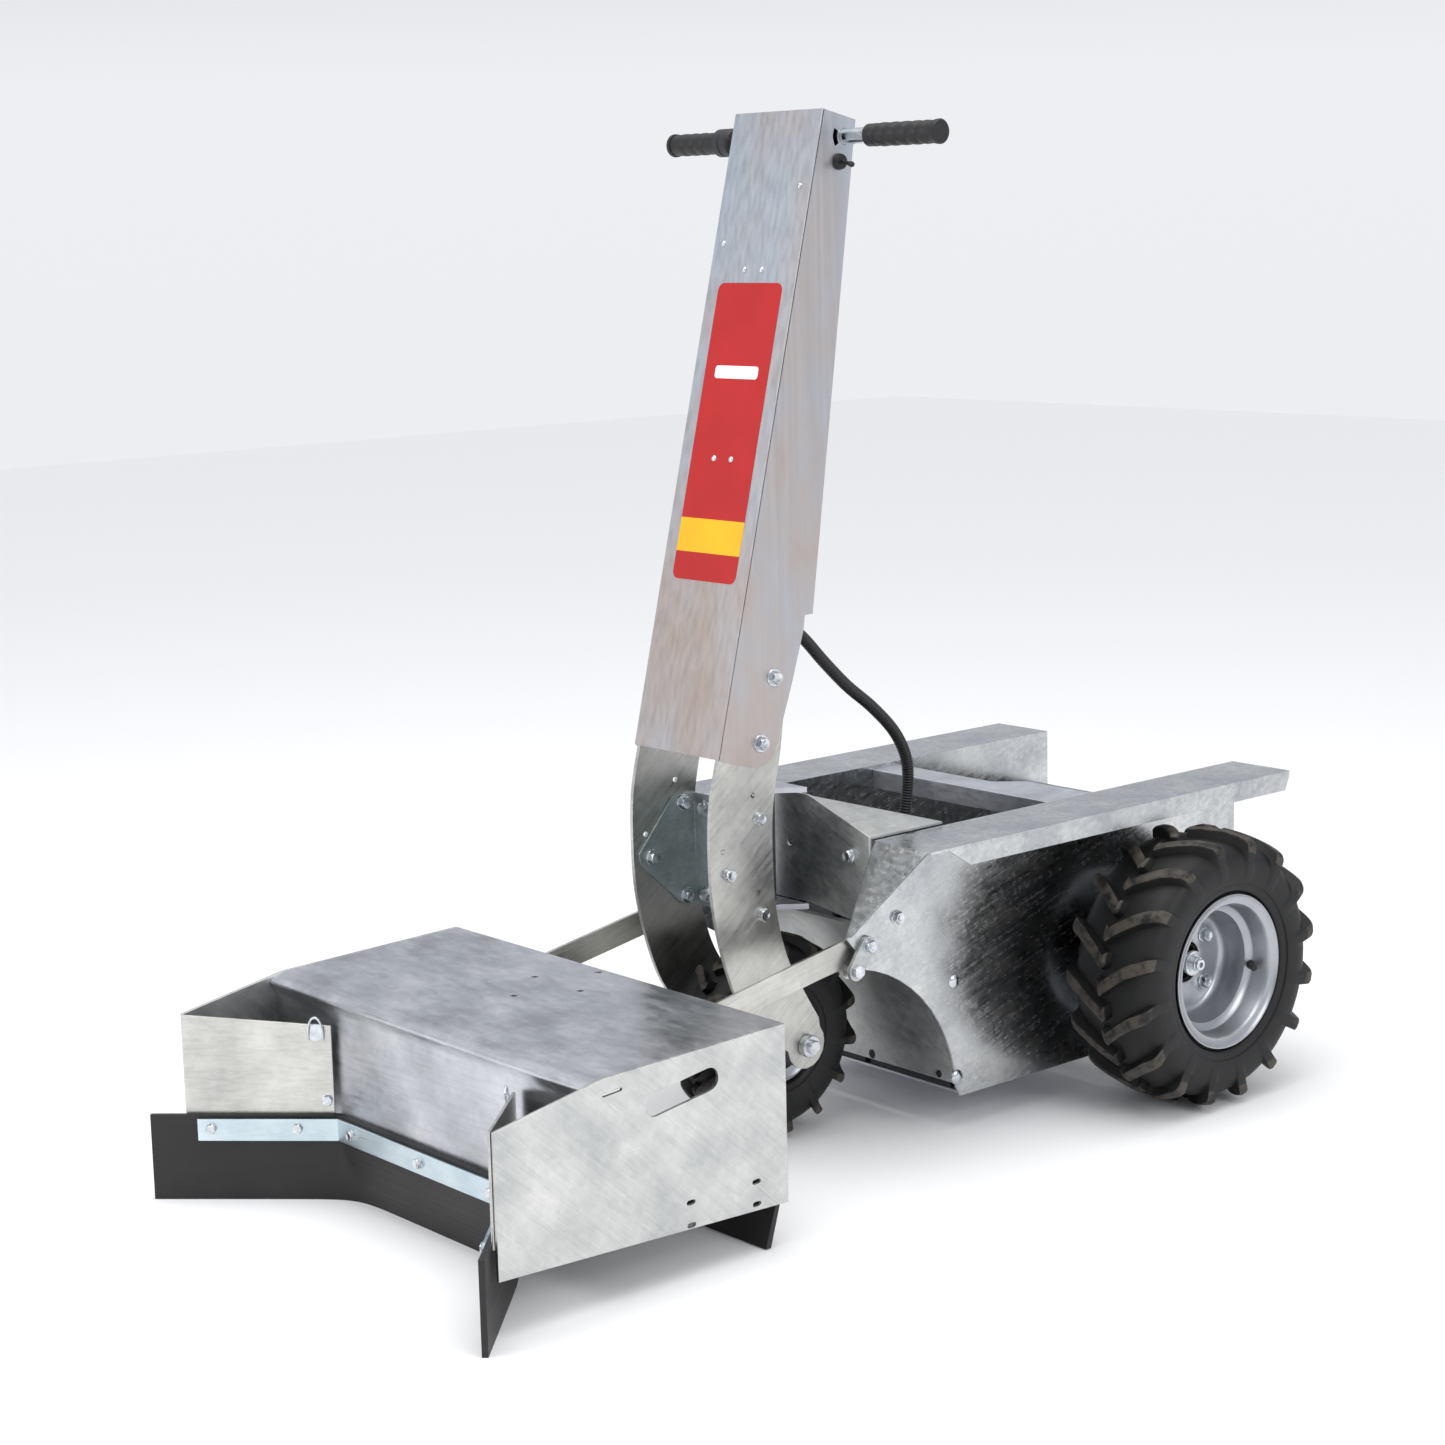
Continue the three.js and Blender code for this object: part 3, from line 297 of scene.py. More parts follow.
def zinc_coat(name, clouds, rough, turn, cloud_mm=90, crystal_mm=9, crystal=0.12, smear=0.3, scratch=0.25):
    """Zinc coating: cloudy patches of three greys, crystals of random tone and shine, short smears, and sparse fine
    scratches along one direction, given as the turn in degrees of a frame whose Y runs along them."""
    material, tree, shader = new_material(name)
    shader.inputs["Metallic"].default_value = 1.0
    place = add_node(tree, "TexCoord").outputs["Object"]
    cloud = add_node(tree, "TexNoise", {
        "Vector": place, "Scale": 1 / (cloud_mm * MM), "Detail": 5.0, "Roughness": 0.6}).outputs["Fac"]
    base = add_ramp(tree, cloud, [(0.32, clouds[0]), (0.52, clouds[1]), (0.70, clouds[2])])
    smear_place = stretched(tree, place, turn, (22, 75, 5))
    smears = add_node(tree, "TexNoise", {"Vector": smear_place, "Scale": 1.0, "Detail": 5.0, "Roughness": 0.6}
                      ).outputs["Fac"]
    smear_tone = add_ramp(tree, smears, [(0.32, "#b4b4b3"), (0.55, "#ffffff")])
    scuffed = add_node(tree, "Mix", {"Factor": smear, "A": base, "B": smear_tone}, data_type="RGBA",
                       blend_type="MULTIPLY").outputs["Result"]
    cells = add_node(tree, "TexVoronoi", {"Vector": place, "Scale": 1 / (crystal_mm * MM)}).outputs["Color"]
    cell_tone = add_node(tree, "SeparateColor", {"Color": cells}).outputs["Red"]
    crystals = add_ramp(tree, cell_tone, [(0.0, "#b2b6b9"), (1.0, "#ffffff")])
    coat = add_node(tree, "Mix", {"Factor": crystal, "A": scuffed, "B": crystals},
                    data_type="RGBA", blend_type="MULTIPLY").outputs["Result"]
    scratch_place = stretched(tree, place, turn, (25, 55, 0.8))
    lines = add_node(tree, "TexNoise", {"Vector": scratch_place, "Scale": 1.0, "Detail": 2.0}).outputs["Fac"]
    scratches = add_node(tree, "MapRange", {
        "Value": lines, "From Min": 0.60, "From Max": 0.68, "To Max": scratch}).outputs["Result"]
    worn = add_node(tree, "Mix", {"Factor": scratches, "A": coat, "B": srgb("#e4e5e4")}, data_type="RGBA")
    wire(tree, worn.outputs["Result"], shader, "Base Color")
    shine = add_node(tree, "MapRange", {
        "Value": smears, "From Min": 0.3, "From Max": 0.7, "To Min": rough[0], "To Max": rough[1]}).outputs["Result"]
    crystal_shine = add_node(tree, "MapRange", {
        "Value": cell_tone, "To Min": -0.09 * crystal, "To Max": 0.09 * crystal})
    rough_sum = add_node(tree, "Math", {0: shine, 1: crystal_shine.outputs["Result"]}, operation="ADD")
    wire(tree, rough_sum.outputs["Value"], shader, "Roughness")
    waves = add_node(tree, "TexNoise", {"Vector": place, "Scale": 1 / (60 * MM), "Detail": 1.0}).outputs["Fac"]
    sheet_wave = add_node(tree, "Bump", {"Height": waves, "Strength": 0.25, "Distance": 1.2 * MM})
    relief = add_node(tree, "Bump", {
        "Height": lines, "Strength": 0.25, "Distance": 0.05 * MM, "Normal": sheet_wave.outputs["Normal"]})
    wire(tree, relief.outputs["Normal"], shader, "Normal")
    return material


def dress(node, material, edge_mm=0.8, crease=28):
    """Gives a CAD node its material and a small rounded edge: welded, bevelled, and shaded by its larger faces."""
    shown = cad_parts[node]
    shown.data.materials.clear()
    shown.data.materials.append(material)
    shown.data.polygons.foreach_set("use_smooth", np.ones(len(shown.data.polygons), bool))
    weld = shown.modifiers.new("weld", "WELD")
    weld.merge_threshold = 0.01 * MM
    edge = shown.modifiers.new("edge", "BEVEL")
    edge.width = edge_mm * MM
    edge.segments = 2
    edge.limit_method = "ANGLE"
    edge.angle_limit = math.radians(crease)
    edge.use_clamp_overlap = True
    shade = shown.modifiers.new("shade", "WEIGHTED_NORMAL")
    shade.mode = "FACE_AREA_WITH_ANGLE"
    shade.weight = 100


def hands(*names):
    """Right and left node name of each name given."""
    return [f"{name}_{hand}" for name in names for hand in HANDS]


side_zinc = zinc_coat("galvanised_side_plate", ("#b4b7ba", "#c9cbcc", "#d9dad9"), (0.17, 0.29), (18, 0, 0),
                      crystal_mm=7, crystal=0.35, smear=0.25, scratch=0.15)
top_zinc = zinc_coat("galvanised_flat_sheet", ("#bbbdc4", "#cbcdd4", "#d8d9df"), (0.34, 0.48), (0, 0, 8), smear=0.15)
wall_zinc = zinc_coat("galvanised_folded_sheet", ("#b0b3b5", "#c6c8c7", "#d6d5d1"), (0.32, 0.46), (0, 24, 0),
                      crystal=0.2)
for node in hands("side_plate"):
    dress(node, side_zinc)
for node in ["cross_plate", "nose_plate_upper", "nose_plate_lower", "floor_pan"]:
    dress(node, top_zinc)
for node in ["front_wall", "arch_sheet", "rear_wall"] + hands("pivot_lug"):
    dress(node, wall_zinc)


# ---------------------------------------------------------------- bolts in the chassis
# Zinc-plated hexagon bolts with pressed washers, and domed coach bolts low on the side plates.
# They hold the side plates to the sheets that stand between them.
def hexagon(angle, across):
    """Distance from the middle to the side of a hexagon of that width across its flats, for each angle."""
    folded = (angle + np.pi / 6) % (np.pi / 3) - np.pi / 6
    return across / 2 / np.cos(folded)


def bolt_heads(name, places, across, height, washer, material, body, domed=False, sides=36):
    """Bolt heads as one mesh. Each is a closed grid round its axis: a washer disc, then a hexagon with a turned
    chamfer, or a dome whose height follows a quarter ellipse. places are (centre, outward direction) in metres."""
    angle = np.linspace(0, 2 * np.pi, sides, endpoint=False)
    hexed = hexagon(angle, across)
    flat = np.ones(sides)
    thick = height * 0.22
    if domed:
        rise = np.linspace(0, np.pi / 2, 8)[:, None]
        rings = [(0 * flat, 0 * flat)] + [(height * math.sin(a), across / 2 * math.cos(a) * flat) for a in rise[:, 0]]
    else:
        lip = 0.47 * across
        rings = [
            (0, 0 * flat), (0, washer * flat), (thick * 0.7, washer * flat), (thick, (washer - 0.3 * thick) * flat),
            (thick, hexed), (height - 0.1 * across, hexed), (height, np.minimum(hexed, lip)),
            (height, 0.3 * across * flat),
            (height * 0.985, 0.28 * across * flat), (height * 0.985, 0 * flat),
        ]
    rise = np.stack([np.broadcast_to(h, sides) for h, _ in rings])
    reach = np.stack([np.broadcast_to(r, sides) for _, r in rings])
    meshes = []
    for centre, outward in places:
        w = Vector(outward).normalized()
        u = w.orthogonal().normalized()
        v = w.cross(u)
        points = (np.array(centre) + rise[..., None] * np.array(w)
                  + (reach * np.cos(angle))[..., None] * np.array(u) + (reach * np.sin(angle))[..., None] * np.array(v))
        meshes.append(grid_mesh(name, points, (False, True)))
    return piece(name, finish_mesh(joined(name, meshes), 30), material, body)


def joined(name, meshes):
    """One mesh that holds copies of several."""
    work = bmesh.new()
    for mesh in meshes:
        work.from_mesh(mesh)
        bpy.data.meshes.remove(mesh)
    whole = bpy.data.meshes.new(name)
    work.to_mesh(whole)
    work.free()
    return whole


bolt_zinc = zinc_coat("bright_zinc_plate", ("#bcc1c6", "#d3d7db", "#e4e7ea"), (0.16, 0.28), (0, 0, 0),
                      cloud_mm=14, crystal=0.0, scratch=0.1)
side_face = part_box("pivot_lug_right")[0][0] - 0.3 * MM
lug_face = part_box("pivot_lug_right")[1][0]
wall_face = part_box("front_wall")[0][1]
bolt_heads("side_plate_bolts",
           [((s * side_face, 0.064, 0.344), (s, 0, 0)) for s in HANDS.values()]
           + [((s * lug_face, 0.003, 0.315), (s, 0, 0)) for s in HANDS.values()],
           16 * MM, 8 * MM, 10.5 * MM, bolt_zinc, "chassis")
bolt_heads("side_plate_coach_bolts",
           [((s * side_face, y, z), (s, 0, 0)) for s in HANDS.values() for y, z in [(0.176, 0.229), (0.180, 0.085)]],
           22 * MM, 5 * MM, 0, bolt_zinc, "chassis", domed=True)
bolt_heads("front_wall_bolts", [((x, wall_face, 0.434), (0, -1, 0)) for x in (-0.156, 0.156)],
           16 * MM, 9 * MM, 10 * MM, bolt_zinc, "chassis")


# ---------------------------------------------------------------- batteries, controller and drive
# Two sealed lead batteries in black cases, a finned controller box on legs above them, and behind them a cast
# gear housing with a round drive motor.
battery_plastic = moulded_plastic("battery_case_plastic", ("#17181a", "#202225"), 0.5, 1.2, 0.05)
for node in hands("battery"):
    dress(node, battery_plastic, 2.5)


def cast_metal(name, dark, light, rough):
    """Sand-cast metal under dull paint: mottled tone and a pebbled surface."""
    material, tree, shader = new_material(name)
    shader.inputs["Metallic"].default_value = 0.6
    place = add_node(tree, "TexCoord").outputs["Object"]
    cloud = add_node(tree, "TexNoise", {"Vector": place, "Scale": 1 / (25 * MM), "Detail": 6.0}).outputs["Fac"]
    pebble = add_node(tree, "TexNoise", {"Vector": place, "Scale": 1 / (1.6 * MM), "Detail": 2.0}).outputs["Fac"]
    wire(tree, add_ramp(tree, cloud, [(0.3, dark), (0.7, light)]), shader, "Base Color")
    shine = add_node(tree, "MapRange", {"Value": cloud, "To Min": rough - 0.1, "To Max": rough + 0.1})
    wire(tree, shine.outputs["Result"], shader, "Roughness")
    bump = add_node(tree, "Bump", {"Height": pebble, "Strength": 0.6, "Distance": 0.15 * MM})
    wire(tree, bump.outputs["Normal"], shader, "Normal")
    return material


housing_iron = cast_metal("painted_cast_housing", "#3b3e41", "#54585b", 0.55)
for node in ["motor_controller", "transaxle_housing", "drive_motor"]:
    dress(node, housing_iron, 1.5)


# ---------------------------------------------------------------- steering fork
# Two laser-cut arms with a bolted folded bracket between them, hung on a bored head that turns on a long pin.
# The arms are ground before they are galvanised, so their zinc is streaky; the bracket is duller and bluer.
arm_zinc = zinc_coat("galvanised_ground_arm", ("#b3b2ae", "#c8c7c2", "#d8d7d2"), (0.28, 0.42), (38, 0, 0),
                     crystal=0.15, smear=0.35, scratch=0.3)
bracket_zinc = zinc_coat("galvanised_bracket", ("#a7b1b1", "#bac3c3", "#c9d0d0"), (0.38, 0.50), (0, 0, 0),
                         cloud_mm=40, crystal_mm=3, crystal=0.3, smear=0.1)
for node in hands("fork_arm"):
    dress(node, arm_zinc)
dress("steering_bracket", bracket_zinc)
dress("steering_head", housing_iron, 1.5)
dress("steering_pin", bolt_zinc, 1.0)
arm_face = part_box("fork_arm_right")[1][0]
cheek_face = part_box("steering_bracket")[1][0] - 4 * MM
flange_face = -0.070
fork_bolts = [(-0.091, 0.494), (-0.150, 0.423), (-0.088, 0.356)]
bolt_heads("fork_arm_bolts", [((s * arm_face, y, z), (s, 0, 0)) for s in HANDS.values() for y, z in fork_bolts],
           17 * MM, 9 * MM, 9 * MM, bolt_zinc, "steering")
bolt_heads("bracket_nuts", [((s * cheek_face, y, z), (-s, 0, 0)) for s in HANDS.values() for y, z in fork_bolts],
           17 * MM, 10 * MM, 12 * MM, bolt_zinc, "steering")
bolt_heads("head_bolts", [((x, flange_face, z), (0, -1, 0)) for x in (-0.052, 0.052) for z in (0.486, 0.358)],
           17 * MM, 9 * MM, 12 * MM, bolt_zinc, "steering")


# ---------------------------------------------------------------- control mast
# Folded electro-galvanised sheet with a screwed front cover. The yellow passivation shows as a bluish to rosy tint.
# Bolts through its foot hold it to the two fork arms.
def passivated_zinc(name):
    """Electroplated zinc with a thin passivation film: large clouds from bluish to rosy brown, faint vertical runs
    and a very fine speckle."""
    material, tree, shader = new_material(name)
    shader.inputs["Metallic"].default_value = 1.0
    place = add_node(tree, "TexCoord").outputs["Object"]
    cloud_place = stretched(tree, place, (0, 0, 0), (150, 150, 280))
    cloud = add_node(tree, "TexNoise", {"Vector": cloud_place, "Scale": 1.0, "Detail": 4.0, "Roughness": 0.55}
                     ).outputs["Fac"]
    height = add_node(tree, "SeparateXYZ", {"Vector": place}).outputs["Z"]
    low = add_node(tree, "MapRange", {
        "Value": height, "From Min": 0.58, "From Max": 1.35, "To Min": -0.16, "To Max": 0.14}).outputs["Result"]
    mixed = add_node(tree, "Math", {0: cloud, 1: low}, operation="ADD").outputs["Value"]
    film = add_ramp(tree, mixed, [
        (0.22, "#b6a59b"), (0.42, "#bab3b1"), (0.56, "#b7b9bf"), (0.76, "#b5bec7")])
    runs_place = stretched(tree, place, (0, 0, 0), (7, 7, 420))
    runs = add_node(tree, "TexNoise", {"Vector": runs_place, "Scale": 1.0, "Detail": 5.0}).outputs["Fac"]
    run_tone = add_ramp(tree, runs, [(0.3, "#b5b0aa"), (0.6, "#ffffff")])
    coat = add_node(tree, "Mix", {"Factor": 0.12, "A": film, "B": run_tone}, data_type="RGBA", blend_type="MULTIPLY")
    wire(tree, coat.outputs["Result"], shader, "Base Color")
    speck = add_node(tree, "TexNoise", {"Vector": place, "Scale": 1 / (1.4 * MM), "Detail": 2.0}).outputs["Fac"]
    shine = add_node(tree, "MapRange", {
        "Value": runs, "From Min": 0.3, "From Max": 0.7, "To Min": 0.34, "To Max": 0.46})
    wire(tree, shine.outputs["Result"], shader, "Roughness")
    relief = add_node(tree, "Bump", {"Height": speck, "Strength": 0.3, "Distance": 0.04 * MM})
    wire(tree, relief.outputs["Normal"], shader, "Normal")
    return material


mast_zinc = passivated_zinc("passivated_zinc_sheet")
dress("mast_housing", mast_zinc, 0.7)
dress("mast_front_cover", mast_zinc, 1.1)
mast_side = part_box("mast_housing")[1][0]
bolt_heads("mast_bolts", [((s * mast_side, y, z), (s, 0, 0)) for s in HANDS.values() for y, z in [
    (-0.060, 0.689), (-0.087, 0.600)]], 16 * MM, 10 * MM, 13 * MM, bolt_zinc, "steering")

cover_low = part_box("mast_front_cover")[0]
cover_foot_y, cover_top_y = -0.166, 0.051
cover_foot_z, cover_top_z = 0.587, 1.462
cover_lean = (cover_top_y - cover_foot_y) / (cover_top_z - cover_foot_z)
cover_normal = Vector((0, -1, cover_lean)).normalized()


def on_cover(x, z, proud=0.0):
    """Point on the front face of the cover at a height, or a distance proud of it."""
    y = cover_low[1] + (z - cover_low[2]) * cover_lean
    return Vector((x, y, z)) + cover_normal * proud


screw_places = [(0.069, 1.358), (-0.071, 1.282), (-0.018, 1.246), (0.018, 1.246), (-0.018, 0.988), (0.018, 0.988)]
bolt_heads("cover_screws", [(on_cover(x, z, 0.2 * MM), cover_normal) for x, z in screw_places],
           9 * MM, 3 * MM, 0, bolt_zinc, "steering", domed=True, sides=20)

# Printed vinyl label: red with a plain yellow band and a blank white field, nothing written on it.
label_low, label_high = 0.821, 1.228
band_low, band_high = 0.858, 0.905
label_half = 67 * MM


def rounded_sheet(name, centre_z, half_width, half_height, corner, proud, thick):
    """Thin rounded rectangle on the cover: four quarter circles joined by straight sides, carried from back to front
    as rings that are closed by their middles."""
    turn = np.linspace(0, 2 * np.pi, 65)[:-1] + np.pi / 64
    x = np.sign(np.cos(turn)) * (half_width - corner) + corner * np.cos(turn)
    up = np.sign(np.sin(turn)) * (half_height - corner) + corner * np.sin(turn)
    along_cover = Vector((0, cover_lean, 1)).normalized()
    middle = np.array(on_cover(0, centre_z))
    outline = middle + x[:, None] * np.array((1, 0, 0)) + up[:, None] * np.array(along_cover)
    out = np.array(cover_normal)
    rings = [np.broadcast_to(middle + out * proud, outline.shape), outline + out * proud,
             outline + out * (proud + thick), np.broadcast_to(middle + out * (proud + thick), outline.shape)]
    return grid_mesh(name, np.stack(rings), (False, True))


def vinyl(name, stops):
    """Printed vinyl film: flat bands of colour by height, a soft gloss and a faint orange-peel."""
    material, tree, shader = new_material(name)
    place = add_node(tree, "TexCoord").outputs["Object"]
    height = add_node(tree, "SeparateXYZ", {"Vector": place}).outputs["Z"]
    share = add_node(tree, "MapRange", {"Value": height, "From Min": label_low, "From Max": label_high})
    bands = add_ramp(tree, share.outputs["Result"], stops, "CONSTANT")
    fade = add_node(tree, "TexNoise", {"Vector": place, "Scale": 1 / (70 * MM), "Detail": 3.0}).outputs["Fac"]
    fade_tone = add_ramp(tree, fade, [(0.3, "#e9e9e9"), (0.7, "#ffffff")])
    ink = add_node(tree, "Mix", {"Factor": 0.6, "A": bands, "B": fade_tone}, data_type="RGBA", blend_type="MULTIPLY")
    wire(tree, ink.outputs["Result"], shader, "Base Color")
    peel = add_node(tree, "TexNoise", {"Vector": place, "Scale": 1 / (2.5 * MM), "Detail": 1.0}).outputs["Fac"]
    relief = add_node(tree, "Bump", {"Height": peel, "Strength": 0.2, "Distance": 0.03 * MM})
    wire(tree, relief.outputs["Normal"], shader, "Normal")
    shader.inputs["Roughness"].default_value = 0.36
    return material


def label_share(z):
    """Height as a share of the label's height."""
    return (z - label_low) / (label_high - label_low)


label_film = vinyl("red_yellow_vinyl", [
    (0.0, "#b50c0a"), (label_share(band_low), "#f5b800"), (label_share(band_high), "#b50c0a")])
label_middle = (label_low + label_high) / 2
label_half_height = (label_high - label_low) / 2 * math.hypot(1, cover_lean)
piece("front_label", finish_mesh(rounded_sheet(
    "front_label", label_middle, label_half, label_half_height, 12 * MM, 0.05 * MM, 0.2 * MM)),
    label_film, "steering")
white_film = vinyl("white_vinyl", [(0.0, "#f4f4f2"), (0.99, "#f4f4f2")])
piece("blank_label_field", finish_mesh(rounded_sheet(
    "blank_label_field", 1.106, 45 * MM, 9 * MM, 5 * MM, 0.26 * MM, 0.1 * MM)),
    white_film, "steering")


# ---------------------------------------------------------------- handlebar, grips and switches
# A zinc-plated tube through the mast head with rubber grips: the left one twists in its housing as the throttle, and
# a booted toggle under the right one picks the direction.
def turned_part(name, profile, centre, direction, sides=48, reach_change=None):
    """Solid of revolution: the profile of (height, radius) pairs is carried round the direction through centre.
    reach_change, if given, is a function of (height, angle) added to the radius."""
    w = Vector(direction).normalized()
    u = Vector((0, 0, 1)) if abs(w.z) < 0.9 else Vector((1, 0, 0))
    u = (u - w * u.dot(w)).normalized()
    v = w.cross(u)
    angle = np.linspace(0, 2 * np.pi, sides, endpoint=False)[None, :]
    height = np.array([p[0] for p in profile], float)[:, None]
    reach = np.array([p[1] for p in profile], float)[:, None] * np.ones_like(angle)
    if reach_change is not None:
        reach = reach + reach_change(height, angle) * (reach > 1e-9)
    points = (np.array(centre) + height[..., None] * np.array(w)
              + (reach * np.cos(angle))[..., None] * np.array(u) + (reach * np.sin(angle))[..., None] * np.array(v))
    return grid_mesh(name, points, (False, True))


handle_centre = Vector((0, 0.092, 1.424))
bar_low, bar_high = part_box("handlebar")
bar_half = bar_high[0]
bar_radius = (bar_high[2] - bar_low[2]) / 2
bar_wall = 2 * MM
bar_profile = [(-bar_half, bar_radius - bar_wall), (-bar_half, bar_radius), (bar_half, bar_radius),
               (bar_half, bar_radius - bar_wall), (-bar_half, bar_radius - bar_wall)]
piece("handlebar_tube", finish_mesh(turned_part("handlebar_tube", bar_profile, handle_centre, (1, 0, 0))),
      bolt_zinc, "steering", ["handlebar"])
grip_rubber = moulded_plastic("black_grip_rubber", ("#0b0b0c", "#141415"), 0.5, 1.0, 0.06)
lobe_pitch = 21 * MM


def grip(name, node, body, outer):
    """Grip from its inner to its closed outer end: rings of lobes all round it that fade out at both ends."""
    low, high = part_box(node)
    length = high[0] - low[0]
    start = low[0] if outer > 0 else high[0]
    radius = 15.4 * MM
    span = np.linspace(0, 1, 90)
    body_profile = [(t * length, radius) for t in span[3:-6]]
    profile = [(0, bar_radius + 0.3 * MM), (0, radius - 1.5 * MM), (1.2 * MM, radius)] + body_profile + [
        (length - 8 * MM, 16.4 * MM), (length - 2 * MM, 16.8 * MM), (length, 15 * MM), (length, 0)]

    def lobes(height, angle):
        inside = np.clip((height - 10 * MM) / (10 * MM), 0, 1) * np.clip((length - 16 * MM - height) / (10 * MM), 0, 1)
        wave = np.abs(np.sin(np.pi * (height / lobe_pitch + 0.15 * np.sin(angle)))) ** 0.6
        return inside * 1.8 * MM * (wave - 0.6)

    mesh = turned_part(name, profile, (start, handle_centre.y, handle_centre.z), (outer, 0, 0), 48, lobes)
    return piece(name, finish_mesh(mesh, 40), grip_rubber, body, [node])


grip("rubber_grip_right", "grip_right", "steering", 1)
grip("rubber_throttle_grip", "throttle_grip", "throttle", -1)
housing_low, housing_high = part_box("throttle_housing")
housing_width = housing_high[0] - housing_low[0]
housing_radius = (housing_high[2] - housing_low[2]) / 2
housing_profile = [
    (0, bar_radius + 0.3 * MM), (0, housing_radius - 3 * MM), (3 * MM, housing_radius), (14 * MM, housing_radius),
    (15 * MM, housing_radius - 1.2 * MM), (17 * MM, housing_radius - 1.2 * MM), (18 * MM, housing_radius),
    (housing_width - 3 * MM, housing_radius), (housing_width, housing_radius - 3 * MM),
    (housing_width, bar_radius + 0.3 * MM), (0, bar_radius + 0.3 * MM)]
piece("throttle_collar", finish_mesh(turned_part(
    "throttle_collar", housing_profile, (housing_low[0], handle_centre.y, handle_centre.z), (1, 0, 0))),
    battery_plastic, "steering", ["throttle_housing"])

switch_place = Vector((mast_side, 0.079, 1.390))
boot_profile = [(m * MM, r * MM) for m, r in [
    (-3.4, 0), (-3.4, 5.5), (0.3, 5.5), (0.3, 11), (2.4, 11.2), (3.2, 10.6), (5.4, 10.5), (6.4, 10.3),
    (7.2, 9.2), (7.2, 0)]]
dress("toggle_switch", grip_rubber, 0.8)
piece("toggle_boot", finish_mesh(turned_part("toggle_boot", boot_profile, switch_place, (1, 0, 0))),
      grip_rubber, "steering")
lever_tilt = math.radians(14)
lever_axis = (math.cos(lever_tilt), 0, -math.sin(lever_tilt))
lever_profile = [(m * MM, r * MM) for m, r in [
    (-1.4, 0), (-1.4, 1.2), (0.2, 1.3), (0.6, 2.2), (1.6, 3.0), (4, 2.6), (9, 2.6), (12, 3.0), (15, 3.9), (18, 4.0),
    (20, 3.2), (20.6, 0)]]
piece("toggle_bat", finish_mesh(turned_part(
    "toggle_bat", lever_profile, (mast_side + 9 * MM, switch_place.y, switch_place.z), lever_axis, 32)),
    grip_rubber, "toggle", ["toggle_lever"])


# ---------------------------------------------------------------- tyres
# Agricultural cross-ply tyres: bars lean in a chevron from each shoulder to the middle and stop just past it. The
# bar tops are dusty where the mould release has worn.
def tyre_rubber(name):
    """Tyre rubber: near black, dust on the bar tops where the attribute 'bar_top' is high, and a matt skin."""
    material, tree, shader = new_material(name)
    place = add_node(tree, "TexCoord").outputs["Object"]
    top = add_node(tree, "Attribute", attribute_name="bar_top").outputs["Fac"]
    patch = add_node(tree, "TexNoise", {"Vector": place, "Scale": 1 / (22 * MM), "Detail": 6.0, "Roughness": 0.7}
                     ).outputs["Fac"]
    worn = add_node(tree, "Math", {0: top, 1: patch}, operation="MULTIPLY").outputs["Value"]
    base = add_ramp(tree, patch, [(0.35, "#0c0c0d"), (0.7, "#151516")])
    dust_amount = add_node(tree, "MapRange", {
        "Value": worn, "From Min": 0.40, "From Max": 0.56, "To Min": 0.0, "To Max": 0.75}).outputs["Result"]
    skin = add_node(tree, "Mix", {"Factor": dust_amount, "A": base, "B": srgb("#4d473f")}, data_type="RGBA")
    wire(tree, skin.outputs["Result"], shader, "Base Color")
    shine = add_node(tree, "MapRange", {"Value": patch, "To Min": 0.42, "To Max": 0.62})
    wire(tree, shine.outputs["Result"], shader, "Roughness")
    grain = add_node(tree, "TexNoise", {"Vector": place, "Scale": 1 / (2.2 * MM), "Detail": 3.0}).outputs["Fac"]
    relief = add_node(tree, "Bump", {"Height": grain, "Strength": 0.4, "Distance": 0.12 * MM})
    wire(tree, relief.outputs["Normal"], shader, "Normal")
    shader.inputs["Specular IOR Level"].default_value = 0.35
    return material


def smooth_step(x, low, high):
    """0 below low, 1 above high, and a smooth S between them."""
    t = np.clip((x - low) / (high - low), 0, 1)
    return t * t * (3 - 2 * t)


